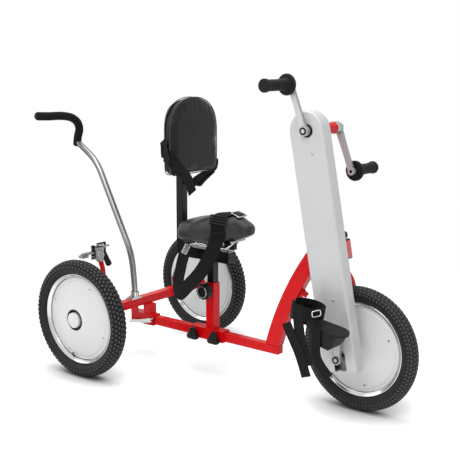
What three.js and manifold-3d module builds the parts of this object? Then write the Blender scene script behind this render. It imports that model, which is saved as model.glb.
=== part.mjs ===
// Adaptive tricycle with a hand crank and foot cranks that drive the front wheel.
// Millimetres, +X the way it travels, +Y the rider's left, +Z up.
// The layout is drawn with the rear axle over x = 0 and the floor at z = 0.
// The last lines move it so that the middle of its box lies over the origin.

import * as THREE from 'three'
import { mergeVertices } from 'three/addons/utils/BufferGeometryUtils.js'
import Module from 'manifold-3d'

const wasm = await Module()
wasm.setup()
const { Manifold, Mesh } = wasm

// Driving dimensions
const wheelbase = 904
const track = 652
const rearTyreRadius = 203
const rearTyreHalfWidth = 27
const rearRimRadius = 158
const frontTyreRadius = 198
const frontTyreHalfWidth = 23
const frontRimRadius = 152
const gap = 0.4

// The main tube and the sleeves that slide on it
const mainTubeSize = 30
const mainTubeHeight = 131
const mainTubeSetBack = 299
const mainTubeFront = wheelbase - mainTubeSetBack
const mainTubeRear = -50
const sleeveSize = 40

// The chain sets how far the hand crank is from the front axle
const chainPitch = 12.7
const chainLinks = 128
const sprocketTeeth = 20
const crankRise = (chainLinks - sprocketTeeth) * chainPitch / 2
const pitchRadius = chainPitch / (2 * Math.sin(Math.PI / sprocketTeeth))
const steerLean = 10.92 * Math.PI / 180
const steerTrail = 27
const chainSide = -101

// The guard, a tray that hides the chain
const guardOuterSide = -122
const guardInnerSide = -81
const guardWidth = 118
const guardSetBack = 5
const guardBelowAxle = 44.5
const guardWall = 2.5

// Cranks
const spindleRadius = 8
const crankFaceRight = -141
const crankFaceLeft = 60
const crankThickness = 16
const handCrankLength = 143
const handCrankAngle = 20 * Math.PI / 180
const footCrankLength = 85
const footCrankAngle = -6 * Math.PI / 180
const footLeftShift = 20

// The seat
const seatTubeSize = 34
const seatTubeCentre = 316
const seatTubeTop = 317
const seatPostSize = 27
const bracketSize = 38
const bracketBottom = 394
const saddleBottom = 465
const padFront = 243
const padThickness = 42
const padWidth = 246
const padBottom = 689
const padTop = 948

// The push bar
const pushBarRadius = 11
const pushBarSide = -62
const pushGripRadius = 15

const group = new THREE.Group()
group.name = 'adaptive_tricycle'

const finishes = {
  red: { color: 0xd3101f, roughness: 0.28, metalness: 0.1 },
  silver: { color: 0xc6c7c8, roughness: 0.42, metalness: 0.3 },
  white: { color: 0xe9e9ea, roughness: 0.35, metalness: 0 },
  chrome: { color: 0xd8d9da, roughness: 0.12, metalness: 1 },
  steel: { color: 0x8d8f90, roughness: 0.35, metalness: 0.9 },
  blackPaint: { color: 0x151515, roughness: 0.4, metalness: 0.1 },
  plastic: { color: 0x1b1b1b, roughness: 0.55, metalness: 0 },
  rubber: { color: 0x202020, roughness: 0.85, metalness: 0 },
  tyre: { color: 0x2a2a2a, roughness: 0.9, metalness: 0 },
  vinyl: { color: 0x2b2b2b, roughness: 0.5, metalness: 0 },
  webbing: { color: 0x141414, roughness: 0.95, metalness: 0 },
  lens: { color: 0xc41a24, roughness: 0.2, metalness: 0 }
}

function add(name, geometry, finish) {
  const mesh = new THREE.Mesh(geometry, new THREE.MeshStandardMaterial(finishes[finish]))
  mesh.name = name
  group.add(mesh)
}

// Solid geometry

function toSolid(geometry) {
  const bare = geometry.clone()
  bare.deleteAttribute('normal')
  bare.deleteAttribute('uv')
  const merged = mergeVertices(bare, 1e-4)
  return new Manifold(new Mesh({
    numProp: 3,
    vertProperties: new Float32Array(merged.attributes.position.array),
    triVerts: new Uint32Array(merged.index.array)
  }))
}

function toGeometry(solid) {
  const mesh = solid.getMesh()
  const points = new Float32Array(mesh.vertProperties.length / mesh.numProp * 3)
  for (let i = 0; i < points.length / 3; i++) {
    for (let k = 0; k < 3; k++) {
      points[3 * i + k] = mesh.vertProperties[mesh.numProp * i + k]
    }
  }
  const geometry = new THREE.BufferGeometry()
  geometry.setAttribute('position', new THREE.BufferAttribute(points, 3))
  geometry.setIndex(Array.from(mesh.triVerts))
  geometry.computeVertexNormals()
  return geometry
}

function join(first, ...others) {
  return toGeometry(others.reduce((sum, piece) => sum.add(toSolid(piece)), toSolid(first)))
}

function cut(first, ...others) {
  return toGeometry(others.reduce((rest, piece) => rest.subtract(toSolid(piece)), toSolid(first)))
}

// A block from one corner to the opposite one
function block(x0, x1, y0, y1, z0, z1) {
  return new THREE.BoxGeometry(x1 - x0, y1 - y0, z1 - z0)
    .translate((x0 + x1) / 2, (y0 + y1) / 2, (z0 + z1) / 2)
}

// A round bar along y, from y0 to y1, about the line through x and z
function pinY(radius, y0, y1, x = 0, z = 0, sides = 24) {
  return new THREE.CylinderGeometry(radius, radius, y1 - y0, sides)
    .translate(x, (y0 + y1) / 2, z)
}

// A round bar along z, from z0 to z1
function pinZ(radius, z0, z1, x = 0, y = 0, sides = 24) {
  return new THREE.CylinderGeometry(radius, radius, z1 - z0, sides)
    .rotateX(Math.PI / 2)
    .translate(x, y, (z0 + z1) / 2)
}

// A turned ring or disc about y; its profile lists pairs of radius and y
function turned(profile, segments) {
  const points = profile.map(([radius, y]) => new THREE.Vector2(radius, y))
  return new THREE.LatheGeometry(points, segments)
}

// A flat outline in x and z, pushed along y from y0 to y1
function plate(shape, y0, y1, steps = 8) {
  return new THREE.ExtrudeGeometry(shape, { depth: y1 - y0, bevelEnabled: false, curveSegments: steps })
    .rotateX(Math.PI / 2)
    .translate(0, y1, 0)
}

// Straight runs through the points, rounded at each inner point
function bentLine(points, bendRadius) {
  const path = new THREE.CurvePath()
  let from = points[0]
  for (let i = 1; i < points.length - 1; i++) {
    const corner = points[i]
    const before = corner.clone().sub(points[i - 1])
    const after = points[i + 1].clone().sub(corner)
    const reach = Math.min(bendRadius * Math.tan(before.angleTo(after) / 2),
      before.length() / 2.05, after.length() / 2.05)
    const start = corner.clone().addScaledVector(before.normalize(), -reach)
    const end = corner.clone().addScaledVector(after.normalize(), reach)
    path.add(new THREE.LineCurve3(from, start))
    path.add(new THREE.QuadraticBezierCurve3(start, corner, end))
    from = end
  }
  path.add(new THREE.LineCurve3(from, points[points.length - 1]))
  return path
}

// A round bar or tube that follows a path
function tubeAlong(path, radius, steps, sides) {
  const ring = new THREE.Shape()
  for (let i = 0; i < sides; i++) {
    const angle = i / sides * 2 * Math.PI
    const x = radius * Math.cos(angle)
    const y = radius * Math.sin(angle)
    if (i === 0) ring.moveTo(x, y)
    else ring.lineTo(x, y)
  }
  ring.closePath()
  return new THREE.ExtrudeGeometry(ring, { steps, bevelEnabled: false, extrudePath: path })
}

// A closed skin over rings of points, each ring the same count, both ends capped
function skin(rings) {
  const count = rings[0].length
  const points = []
  const faces = []
  for (const ring of rings) {
    for (const point of ring) points.push(point.x, point.y, point.z)
  }
  for (let r = 0; r < rings.length - 1; r++) {
    for (let i = 0; i < count; i++) {
      const a = r * count + i
      const b = r * count + (i + 1) % count
      faces.push(a, b, a + count, b, b + count, a + count)
    }
  }
  const last = (rings.length - 1) * count
  for (let i = 1; i < count - 1; i++) {
    faces.push(0, i + 1, i)
    faces.push(last, last + i, last + i + 1)
  }
  const geometry = new THREE.BufferGeometry()
  geometry.setAttribute('position', new THREE.Float32BufferAttribute(points, 3))
  geometry.setIndex(faces)
  geometry.computeVertexNormals()
  return outward(geometry)
}

// Turns a skin inside out if its volume comes out negative
function outward(geometry) {
  const p = geometry.attributes.position
  const index = Array.from(geometry.index.array)
  const a = new THREE.Vector3()
  const b = new THREE.Vector3()
  const c = new THREE.Vector3()
  let volume = 0
  for (let i = 0; i < index.length; i += 3) {
    a.fromBufferAttribute(p, index[i])
    b.fromBufferAttribute(p, index[i + 1])
    c.fromBufferAttribute(p, index[i + 2])
    volume += a.dot(b.cross(c))
  }
  if (volume < 0) {
    for (let i = 0; i < index.length; i += 3) index.splice(i, 2, index[i + 1], index[i])
    geometry.setIndex(index)
    geometry.computeVertexNormals()
  }
  return geometry
}

// A flat strap; each stop is a point and the way its face looks there
function strap(stops, width, thickness, steps) {
  const line = new THREE.CatmullRomCurve3(stops.map(stop => stop.at), false, 'centripetal')
  const looks = new THREE.CatmullRomCurve3(stops.map(stop => stop.face), false, 'catmullrom')
  const rings = []
  for (let i = 0; i <= steps; i++) {
    const share = i / steps
    const at = line.getPoint(share)
    const along = line.getTangent(share)
    const across = looks.getPoint(share).cross(along).normalize()
    const out = along.clone().cross(across).normalize()
    const ring = []
    for (const [w, t] of [[-1, -1], [1, -1], [1, 1], [-1, 1]]) {
      ring.push(at.clone().addScaledVector(across, w * width / 2).addScaledVector(out, t * thickness / 2))
    }
    rings.push(ring)
  }
  return skin(rings)
}

function at(x, y, z) {
  return new THREE.Vector3(x, y, z)
}

// Puts a piece drawn about the front axle, upright, onto the leaning steering line
function leaning(geometry) {
  return geometry.rotateY(-steerLean).translate(wheelbase, 0, frontTyreRadius)
}

// The steering line itself runs a little behind both spindles
function onSteering(geometry) {
  return leaning(geometry.translate(-steerTrail, 0, 0))
}

// The same for a piece drawn about the hand crank spindle
function atHandCrank(geometry) {
  return leaning(geometry.translate(0, 0, crankRise))
}

// Frame: main tube, curved down tube and head tube

const mainTubeTop = mainTubeHeight + mainTubeSize / 2
const headTubeRadius = 18
const headTubeFoot = 253
const headTubeLength = 132
const headCupHeight = 9
const steererRadius = 12.7
const frameTubeWall = 2.5

function mainTube() {
  const half = mainTubeSize / 2
  const outer = block(mainTubeRear, mainTubeFront, -half, half, mainTubeHeight - half, mainTubeTop)
  const bore = half - frameTubeWall
  const inner = block(mainTubeRear - 1, mainTubeFront - frameTubeWall, -bore, bore,
    mainTubeHeight - bore, mainTubeHeight + bore)
  return cut(outer, inner)
}

const downTubeDepth = 51
const downTubeWidth = 30
const downTubeBendRadius = 976
const downTubeFootInset = 25.1
const downTubeCrossing = 116.649
const downTubeEndShare = 0.68

// The bend's middle line stands on the main tube and crosses the steering line in the head tube
function downTubeBendCentre() {
  const foot = { x: mainTubeFront - downTubeFootInset, z: mainTubeTop }
  const crossing = headTubeFoot + downTubeCrossing
  const head = {
    x: wheelbase - steerTrail * Math.cos(steerLean) - crossing * Math.sin(steerLean),
    z: frontTyreRadius - steerTrail * Math.sin(steerLean) + crossing * Math.cos(steerLean)
  }
  const reachX = head.x - foot.x
  const reachZ = head.z - foot.z
  const chord = Math.hypot(reachX, reachZ)
  const away = Math.sqrt(downTubeBendRadius ** 2 - (chord / 2) ** 2)
  return {
    x: (foot.x + head.x) / 2 + away * reachZ / chord,
    z: (foot.z + head.z) / 2 - away * reachX / chord
  }
}

// The tube is an arc about one centre, cut flat on the main tube and hollowed round the head tube
function downTube() {
  const centre = downTubeBendCentre()
  const startAngle = Math.PI - Math.asin((mainTubeHeight - centre.z - mainTubeSize) / downTubeBendRadius)
  const headHeight = frontTyreRadius + (headTubeFoot + headTubeLength * downTubeEndShare) * Math.cos(steerLean)
  const endAngle = Math.PI - Math.asin((headHeight - centre.z) / downTubeBendRadius)
  const shape = new THREE.Shape()
  const outer = downTubeBendRadius + downTubeDepth / 2
  const inner = downTubeBendRadius - downTubeDepth / 2
  shape.absarc(centre.x, centre.z, outer, startAngle, endAngle, true)
  shape.absarc(centre.x, centre.z, inner, endAngle, startAngle, false)
  shape.closePath()
  const body = plate(shape, -downTubeWidth / 2, downTubeWidth / 2, 16)
  const floor = mainTubeTop + gap
  const below = block(centre.x - outer - 100, mainTubeFront + 200, -60, 60, floor - 200, floor)
  const clearance = headTubeRadius + gap
  const head = onSteering(pinZ(clearance, headTubeFoot - 60, headTubeFoot + headTubeLength + 120, 0, 0, 32))
  const beyond = onSteering(block(0, 400, -60, 60, headTubeFoot - 200, headTubeFoot + headTubeLength + 200))
  return join(cut(body, below, head, beyond), steeringStop())
}

function headTube() {
  const bore = steererRadius + gap + 0.1
  const cupRadius = headTubeRadius + 4
  const top = headTubeFoot + headTubeLength
  return onSteering(cut(
    join(
      pinZ(headTubeRadius, headTubeFoot, top),
      pinZ(cupRadius, headTubeFoot - headCupHeight, headTubeFoot + 3),
      pinZ(cupRadius, top - 3, top + headCupHeight)
    ),
    pinZ(bore, headTubeFoot - 100, top + 100)
  ))
}

// The small stop welded under the down tube, with its bolt
const stopRise = 345
const stopReach = 45

function steeringStop() {
  const centre = downTubeBendCentre()
  const angle = Math.asin((stopRise - centre.z) / downTubeBendRadius)
  const radius = downTubeBendRadius - downTubeDepth / 2
  const x = centre.x - radius * Math.cos(angle)
  const z = centre.z + radius * Math.sin(angle)
  const bar = block(-stopReach, 20, -8, 8, -9, 3)
  const lug = block(4, 20, -5, 5, -22, -8)
  const bolt = pinY(5, -11, 11, 12, -16, 12)
  return join(bar, lug, bolt)
    .rotateY(-(Math.PI / 2 - angle))
    .translate(x, 0, z)
}

const reflectorWidth = 46
const reflectorHeight = 62
const reflectorThickness = 12
const reflectorRise = 312
const reflectorStandoff = 6
const reflectorStemHalf = 7
const reflectorStemDrop = 44
const reflectorStemTop = 10
const reflectorBoltRadius = 4.5
const reflectorBoltDrop = 38
const reflectorBoltReach = 9

function frontReflector() {
  const inner = headTubeRadius + gap
  const half = reflectorWidth / 2
  const back = inner + reflectorStandoff
  const face = block(back, back + reflectorThickness, -half, half,
    reflectorRise - reflectorHeight / 2, reflectorRise + reflectorHeight / 2)
  const stem = block(inner, back + 1, -reflectorStemHalf, reflectorStemHalf,
    reflectorRise - reflectorStemDrop, reflectorRise + reflectorStemTop)
  const boltHead = pinY(reflectorBoltRadius, -reflectorBoltRadius, reflectorBoltRadius, 0, 0, 12)
    .rotateZ(Math.PI / 2).translate(inner + reflectorBoltReach, 0, reflectorRise - reflectorBoltDrop)
  return onSteering(join(face, stem, boltHead))
}

const steeringKnobAbove = 13
const steeringKnobRise = reflectorRise + reflectorHeight / 2 + steeringKnobAbove
const steeringKnobRadius = 12
const steeringKnobReach = 16

// Each pair of shares: of the knob's radius, and of its reach
const steeringKnobShares = [
  [0, 0], [1 / 3, 0], [1 / 3, 5 / 16], [11 / 12, 6 / 16], [1, 8 / 16], [1, 13 / 16], [10 / 12, 1], [0, 1]
]

function steeringKnob() {
  const inner = headTubeRadius + gap
  const turnedKnob = turned(steeringKnobShares.map(([radius, reach]) => [
    radius * steeringKnobRadius, reach * steeringKnobReach
  ]), 14)
  return onSteering(turnedKnob.rotateZ(-Math.PI / 2).translate(inner, 0, steeringKnobRise))
}

function buildFrame() {
  add('main_tube', mainTube(), 'red')
  add('down_tube', downTube(), 'red')
  add('head_tube', headTube(), 'red')
  add('front_reflector', frontReflector(), 'plastic')
  add('steering_knob', steeringKnob(), 'plastic')
}

// Rear carriage: crossbar, receiver, brake and push bar

const crossbarSize = 30
const crossbarHeight = rearTyreRadius
const crossbarTop = crossbarHeight + crossbarSize / 2
const crossbarHalfLength = track / 2 - rearTyreHalfWidth - 7
const stubRadius = 10
const collarRadius = 16

function rearCrossbar() {
  const half = crossbarSize / 2
  const bar = block(-half, half, -crossbarHalfLength, crossbarHalfLength, crossbarHeight - half, crossbarTop)
  const collarEnd = track / 2 - rearHubHalf - 0.5
  const collarStart = crossbarHalfLength - 5
  const stubEnd = track / 2 + rearHubHalf - 1
  return join(
    bar,
    pinY(collarRadius, collarStart, collarEnd, 0, crossbarHeight, 18),
    pinY(collarRadius, -collarEnd, -collarStart, 0, crossbarHeight, 18),
    pinY(stubRadius, -stubEnd, stubEnd, 0, crossbarHeight, 18),
    brakePostBar(brakePostRadius, 0)
  )
}

const receiverRear = -62
const receiverFront = 50
const riserSize = 34
const riserCentre = 16

function rearReceiver() {
  const half = sleeveSize / 2
  const bore = mainTubeSize / 2 + gap
  const top = crossbarHeight - crossbarSize / 2 - gap
  const sleeve = block(receiverRear, receiverFront, -half, half, mainTubeHeight - half, mainTubeHeight + half)
  const riser = block(riserCentre - riserSize / 2, riserCentre + riserSize / 2, -riserSize / 2, riserSize / 2,
    mainTubeHeight + half - 2, top)
  const rib = block(receiverRear, receiverRear + 34, -half, -half + 5, mainTubeHeight + half - 2, top - 9)
  const passage = block(receiverRear - 1, receiverFront + 1, -bore, bore,
    mainTubeHeight - bore, mainTubeHeight + bore)
  return cut(join(sleeve, riser, rib), passage)
}

const leverX = 44
const leverLength = 98
const leverDrop = 12 * Math.PI / 180

// The quick lever and its cam barrel on the right side of the receiver
function receiverLever() {
  const side = -sleeveSize / 2 - gap
  const cam = pinY(9, side - 16, side, 0, 0, 16)
  const shape = new THREE.Shape()
  shape.moveTo(0, 8)
  shape.quadraticCurveTo(-leverLength / 2, 3, -leverLength, 7)
  shape.quadraticCurveTo(-leverLength - 8, 0, -leverLength, -6)
  shape.quadraticCurveTo(-leverLength / 2, -8, 0, -8)
  shape.closePath()
  const blade = plate(shape, side - 15, side - 9, 5)
  return join(cam, blade).rotateY(-leverDrop).translate(leverX, 0, mainTubeHeight + 4)
}

// The parking brake over the right rear tyre
const brakePostInset = 110
const brakePostSide = -track / 2 + brakePostInset
const brakePostRadius = 9
const brakePostKick = 13
const brakeHeadSide = brakePostSide - brakePostKick
const shoeClearance = 5
const shoeDrop = 11
const shoeThickness = 8
const brakePivotHeight = 2 * rearTyreRadius + shoeClearance + shoeDrop
const brakePivotRise = 30
const brakeHeadHeight = brakePivotHeight - brakePivotRise
const brakeKneeDrop = 40
const brakePostBend = brakeHeadHeight - brakeKneeDrop
const brakePostLean = Math.atan2(brakePostSide - brakeHeadSide, brakeHeadHeight - brakePostBend)
const brakePostBendRadius = 30

function brakePostBar(radius, extra) {
  const path = bentLine([
    at(0, brakePostSide, crossbarTop - 2),
    at(0, brakePostSide, brakePostBend),
    at(0, brakeHeadSide - extra * Math.sin(brakePostLean), brakeHeadHeight + extra * Math.cos(brakePostLean))
  ], brakePostBendRadius)
  return tubeAlong(path, radius, 10, 12)
}

// Two cheeks on a base, with a socket that sits on the post
const cheekInner = 9
const cheekOuter = 13
const brakeHeadOuter = brakeHeadSide - 30
const brakeHeadInner = brakeHeadSide + 6
const brakeBaseRise = 10
const brakeBaseThickness = 5
const brakeBaseSetback = 14
const cheekSkirt = 8
const cheekCrown = 16
const crownBar = 8
const brakeSocketWall = 3
const brakeSocketLength = 14
const brakeSocketSink = 4
const brakePostEntry = 2

function brakeBody() {
  const foot = brakeHeadHeight + brakeBaseRise
  const top = brakePivotHeight + cheekCrown
  const base = block(-cheekOuter, cheekOuter, brakeHeadOuter, brakeHeadInner - brakeBaseSetback,
    foot, foot + brakeBaseThickness)
  const cheekFront = block(cheekInner, cheekOuter, brakeHeadOuter, brakeHeadInner, foot - cheekSkirt, top)
  const cheekRear = block(-cheekOuter, -cheekInner, brakeHeadOuter, brakeHeadInner, foot - cheekSkirt, top)
  const crown = block(-cheekOuter, cheekOuter, brakeHeadOuter, brakeHeadOuter + crownBar, top - crownBar, top)
  const socket = pinZ(brakePostRadius + brakeSocketWall, 0, brakeSocketLength, 0, 0, 16).rotateX(brakePostLean)
    .translate(0, brakeHeadSide + 1, brakeHeadHeight - brakeSocketSink)
  const whole = toSolid(join(base, cheekFront, cheekRear, crown, socket))
  const post = toSolid(brakePostBar(brakePostRadius + gap, brakePostEntry))
  return toGeometry(whole.subtract(post))
}

// The arm that presses its pad on the tyre turns on a pin along x
const shoePivotSide = brakeHeadSide - 20
const shoePinRadius = 4
const shoeArmHalf = 7
const shoeArmRise = 3
const shoeArmInset = 14
const shoePadHalf = 11
const shoePadInset = 8
const shoePadLength = 26

function brakeShoe() {
  const reach = cheekInner - gap
  const pivot = pinY(shoePinRadius, -reach, reach, 0, 0, 12).rotateZ(Math.PI / 2)
    .translate(0, shoePivotSide, brakePivotHeight)
  const padEnd = -track / 2 + shoePadInset
  const arm = block(-shoeArmHalf, shoeArmHalf, -track / 2 + shoeArmInset, shoePivotSide + shoeArmRise,
    brakePivotHeight - shoePinRadius, brakePivotHeight + shoeArmRise)
  const pad = block(-shoePadHalf, shoePadHalf, padEnd, padEnd + shoePadLength,
    brakePivotHeight - shoeDrop, brakePivotHeight - shoeDrop + shoeThickness)
  return join(pivot, arm, pad)
}

// The hand lever with its rubber sleeve hangs on the inner side
const handleRootHeight = 12
const handleReach = 32
const handleDrop = 48
const handleRadius = 8
const handleTipRadius = 8.4

function brakeHandle() {
  const reach = cheekInner - gap
  const from = at(0, brakeHeadInner + 2, brakePivotHeight + handleRootHeight / 2)
  const to = at(0, brakeHeadInner + handleReach, brakePivotHeight - handleDrop)
  const root = block(-reach, reach, brakeHeadSide - 12, brakeHeadInner + 4,
    brakePivotHeight, brakePivotHeight + handleRootHeight)
  const bar = tubeAlong(new THREE.LineCurve3(from, to), handleRadius, 1, 12)
  const tip = new THREE.SphereGeometry(handleTipRadius, 12, 8).translate(to.x, to.y, to.z)
  return join(root, bar, tip)
}

// The red reflector stands on the rear cheek of the brake
function rearReflector() {
  const rear = -cheekOuter - gap
  return block(rear - 9, rear, brakeHeadInner - 2, brakeHeadInner + 36, brakePivotHeight - 8, brakePivotHeight + 24)
}

const clampHalf = 17
const clampReach = 31

function pushBarClamp() {
  const half = pushBarRadius
  const foot = crossbarTop + gap
  const base = block(-clampHalf, clampHalf, pushBarSide - clampReach, pushBarSide + clampHalf, foot, foot + 6)
  const socket = pinZ(half + 5, foot, foot + 24, 0, pushBarSide, 20)
  const bolt = pinZ(6, foot, foot + 13, 0, pushBarSide - 23, 6)
  const bore = pinZ(half + gap + 0.3, foot + 3, foot + 40, 0, pushBarSide, 20)
  return cut(join(base, socket, bolt), bore)
}

// Points of the bar: foot, two bends, and where the grip starts
const pushBarStandHeight = 262
const pushBarKneeBack = 12
const pushBarKneeHeight = 381
const pushBarElbowBack = 180
const pushBarElbowHeight = 705
const pushBarEndBack = 275
const pushBarEndHeight = 765
const pushBarBendRadius = 90
const pushBarFootRise = 4
const pushBarPoints = [
  at(0, pushBarSide, crossbarTop + gap + pushBarFootRise),
  at(0, pushBarSide, pushBarStandHeight),
  at(-pushBarKneeBack, pushBarSide, pushBarKneeHeight),
  at(-pushBarElbowBack, pushBarSide, pushBarElbowHeight),
  at(-pushBarEndBack, pushBarSide, pushBarEndHeight)
]

function pushBar() {
  return tubeAlong(bentLine(pushBarPoints, pushBarBendRadius), pushBarRadius, 20, 10)
}

// The grip rises from the bar's end and hooks out to the side
const gripRise = 121
const gripStartDrop = 13
const gripBack = 8
const gripReach = 190

// Each row of shares: back from the bar's end, sideways and upwards along the grip
const gripPathShares = [
  [1, 0, 0], [0.75, 3 / 190, 33 / 121], [0.25, 8 / 190, 63 / 121], [-0.375, -6 / 190, 90 / 121],
  [-0.625, -0.2, 109 / 121], [-0.375, -84 / 190, 117 / 121], [0.25, -135 / 190, 118 / 121], [1, -1, 1]
]

function pushBarGrip() {
  const path = new THREE.CatmullRomCurve3(gripPathShares.map(([back, side, rise]) => at(
    -pushBarEndBack - back * gripBack,
    pushBarSide + side * gripReach,
    pushBarEndHeight - gripStartDrop + rise * gripRise
  )))
  const grip = tubeAlong(path, pushGripRadius, 16, 10)
  const bar = tubeAlong(bentLine(pushBarPoints, pushBarBendRadius), pushBarRadius + gap, 20, 10)
  return cut(grip, bar)
}

function buildRearCarriage() {
  add('rear_crossbar', rearCrossbar(), 'red')
  add('rear_receiver', rearReceiver(), 'red')
  add('receiver_lever', receiverLever(), 'chrome')
  add('brake_body', brakeBody(), 'steel')
  add('brake_shoe', brakeShoe(), 'steel')
  add('brake_handle', brakeHandle(), 'rubber')
  add('rear_reflector', rearReflector(), 'lens')
  add('push_bar_clamp', pushBarClamp(), 'chrome')
  add('push_bar', pushBar(), 'chrome')
  add('push_bar_grip', pushBarGrip(), 'rubber')
}

// Wheels

const wheelSegments = 32
const rearBlockHeight = 3
const frontBlockHeight = 1.6
const rearHubHalf = 8
const discHalf = 7
const bulge = 30
const recessRadius = 36
const hubWellFloor = 20
const capRadius = 25
const capReach = 37

// A tyre with blocks; the shoulder rows are set half a step from the middle ones
function blockTyre(radius, halfWidth, beadRadius, steps, blockHeight) {
  const section = radius - beadRadius
  const profile = [
    [beadRadius, -halfWidth * 0.52, 0],
    [beadRadius + section * 0.3, -halfWidth * 0.94, 0],
    [beadRadius + section * 0.62, -halfWidth, 0],
    [radius - blockHeight - section * 0.15, -halfWidth * 0.76, 1],
    [radius - blockHeight * 0.99, -halfWidth * 0.34, 2],
    [radius - blockHeight * 0.99, halfWidth * 0.34, 2],
    [radius - blockHeight - section * 0.15, halfWidth * 0.76, 1],
    [beadRadius + section * 0.62, halfWidth, 0],
    [beadRadius + section * 0.3, halfWidth * 0.94, 0],
    [beadRadius, halfWidth * 0.52, 0]
  ]
  const rings = []
  for (let i = 0; i < steps; i++) {
    const angle = i / steps * 2 * Math.PI
    rings.push(profile.map(([r, y, row]) => {
      const raised = row > 0 && (i + row) % 2 === 0 ? blockHeight : 0
      return at((r + raised) * Math.cos(angle), y, (r + raised) * Math.sin(angle))
    }))
  }
  return closedRing(rings)
}

// A skin whose last ring meets its first
function closedRing(rings) {
  const count = rings[0].length
  const points = []
  const faces = []
  for (const ring of rings) {
    for (const point of ring) points.push(point.x, point.y, point.z)
  }
  for (let r = 0; r < rings.length; r++) {
    for (let i = 0; i < count; i++) {
      const a = r * count + i
      const b = r * count + (i + 1) % count
      const c = (r + 1) % rings.length * count + i
      const d = (r + 1) % rings.length * count + (i + 1) % count
      faces.push(a, b, c, b, d, c)
    }
  }
  const geometry = new THREE.BufferGeometry()
  geometry.setAttribute('position', new THREE.Float32BufferAttribute(points, 3))
  geometry.setIndex(faces)
  geometry.computeVertexNormals()
  return outward(geometry)
}

// A rim with rolled edges that stand proud of its well
function rim(radius, halfWidth) {
  const well = radius - 9
  return turned([
    [well, -halfWidth + 5], [radius - 2, -halfWidth], [radius, -halfWidth + 2],
    [radius, halfWidth - 2], [radius - 2, halfWidth], [well, halfWidth - 5],
    [well - 5, halfWidth - 7], [well - 5, -halfWidth + 7], [well, -halfWidth + 5]
  ], wheelSegments)
}

// The white disc of a rear wheel bulges towards its outer side, with a well round the hub
function rearDisc() {
  const edge = rearRimRadius - 14 - gap
  const step = edge - 14
  const bore = stubRadius + 0.5
  return turned([
    [bore, -rearHubHalf], [recessRadius, -discHalf], [step, -discHalf], [step + 3, -discHalf + 3],
    [edge, -discHalf + 3], [edge, discHalf - 3], [step + 3, discHalf - 2], [step, discHalf + 1],
    [step * 0.6, bulge * 0.8], [recessRadius, bulge], [recessRadius, hubWellFloor], [bore, hubWellFloor],
    [bore, -rearHubHalf]
  ], wheelSegments)
}

function hubCap() {
  const base = hubWellFloor + gap
  return turned([
    [0, base], [capRadius, base], [capRadius, capReach - 6], [capRadius - 4, capReach - 2],
    [capRadius - 12, capReach], [0, capReach + 0.6]
  ], 20)
}

function buildRearWheel(side) {
  const name = side > 0 ? 'left' : 'right'
  const y = side * track / 2
  const place = geometry => geometry.translate(0, y, rearTyreRadius)
  const bead = rearRimRadius + 0.6
  add(`rear_tyre_${name}`, place(blockTyre(rearTyreRadius - 0.01, rearTyreHalfWidth, bead, 64, rearBlockHeight)), 'tyre')
  add(`rear_rim_${name}`, place(rim(rearRimRadius, 16)), 'chrome')
  const facing = geometry => side > 0 ? geometry : geometry.rotateX(Math.PI)
  add(`rear_disc_${name}`, place(facing(rearDisc())), 'white')
  add(`rear_hub_cap_${name}`, place(facing(hubCap())), 'white')
}

const forkInner = 36
const hubBoss = forkInner - 1.5

const frontBulge = 20

function frontDisc() {
  const edge = frontRimRadius - 14 - gap
  const step = edge - 12
  const bore = spindleRadius + gap
  return turned([
    [bore, -hubBoss], [18, -hubBoss], [22, -frontBulge], [70, -frontBulge + 4],
    [step, -discHalf - 1], [step + 3, -discHalf + 2], [edge, -discHalf + 3],
    [edge, discHalf - 3], [step + 3, discHalf - 2], [step, discHalf + 1],
    [70, frontBulge - 4], [22, frontBulge], [18, hubBoss], [bore, hubBoss],
    [bore, -hubBoss]
  ], wheelSegments)
}

function frontAxle() {
  const cap = 11
  return join(
    pinY(spindleRadius, crankFaceRight - 1.5, footLeftFace + 1.5),
    pinY(cap, crankFaceRight - 3, crankFaceRight - gap, 0, 0, 16),
    pinY(cap, footLeftFace + gap, footLeftFace + 3, 0, 0, 16)
  )
}

const footLeftFace = crankFaceLeft + footLeftShift

function buildFrontWheel() {
  const place = geometry => geometry.translate(wheelbase, 0, frontTyreRadius)
  const bead = frontRimRadius + 0.6
  add('front_tyre', place(blockTyre(frontTyreRadius - 0.01, frontTyreHalfWidth, bead, 48, frontBlockHeight)), 'tyre')
  add('front_rim', place(rim(frontRimRadius, 14)), 'chrome')
  add('front_disc', place(frontDisc()), 'white')
  add('front_axle', place(frontAxle()), 'steel')
  add('lower_sprocket', place(sprocket(steerLean)), 'steel')
}

// Drive: two equal sprockets and the chain round them

const toothRise = 2.4

// Teeth on a ring: each one rises from its seat on straight flanks to a blunt tip
function sprocket(turn) {
  const rollerRadius = 3.9
  const root = pitchRadius - rollerRadius - 0.2
  const tip = pitchRadius + toothRise
  const shape = new THREE.Shape()
  for (let i = 0; i < sprocketTeeth; i++) {
    const middle = (i + 0.5) / sprocketTeeth * 2 * Math.PI + turn
    const pitch = 2 * Math.PI / sprocketTeeth
    for (const [share, radius] of [[-0.3, root], [-0.1, tip], [0.1, tip], [0.3, root]]) {
      const angle = middle + share * pitch
      const x = radius * Math.cos(angle)
      const z = radius * Math.sin(angle)
      if (i === 0 && share === -0.3) shape.moveTo(x, z)
      else shape.lineTo(x, z)
    }
  }
  shape.closePath()
  const bore = new THREE.Path()
  bore.absarc(0, 0, spindleRadius + gap, 0, 2 * Math.PI, true)
  shape.holes.push(bore)
  return plate(shape, chainSide - 1.4, chainSide + 1.4, 6)
}

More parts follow.
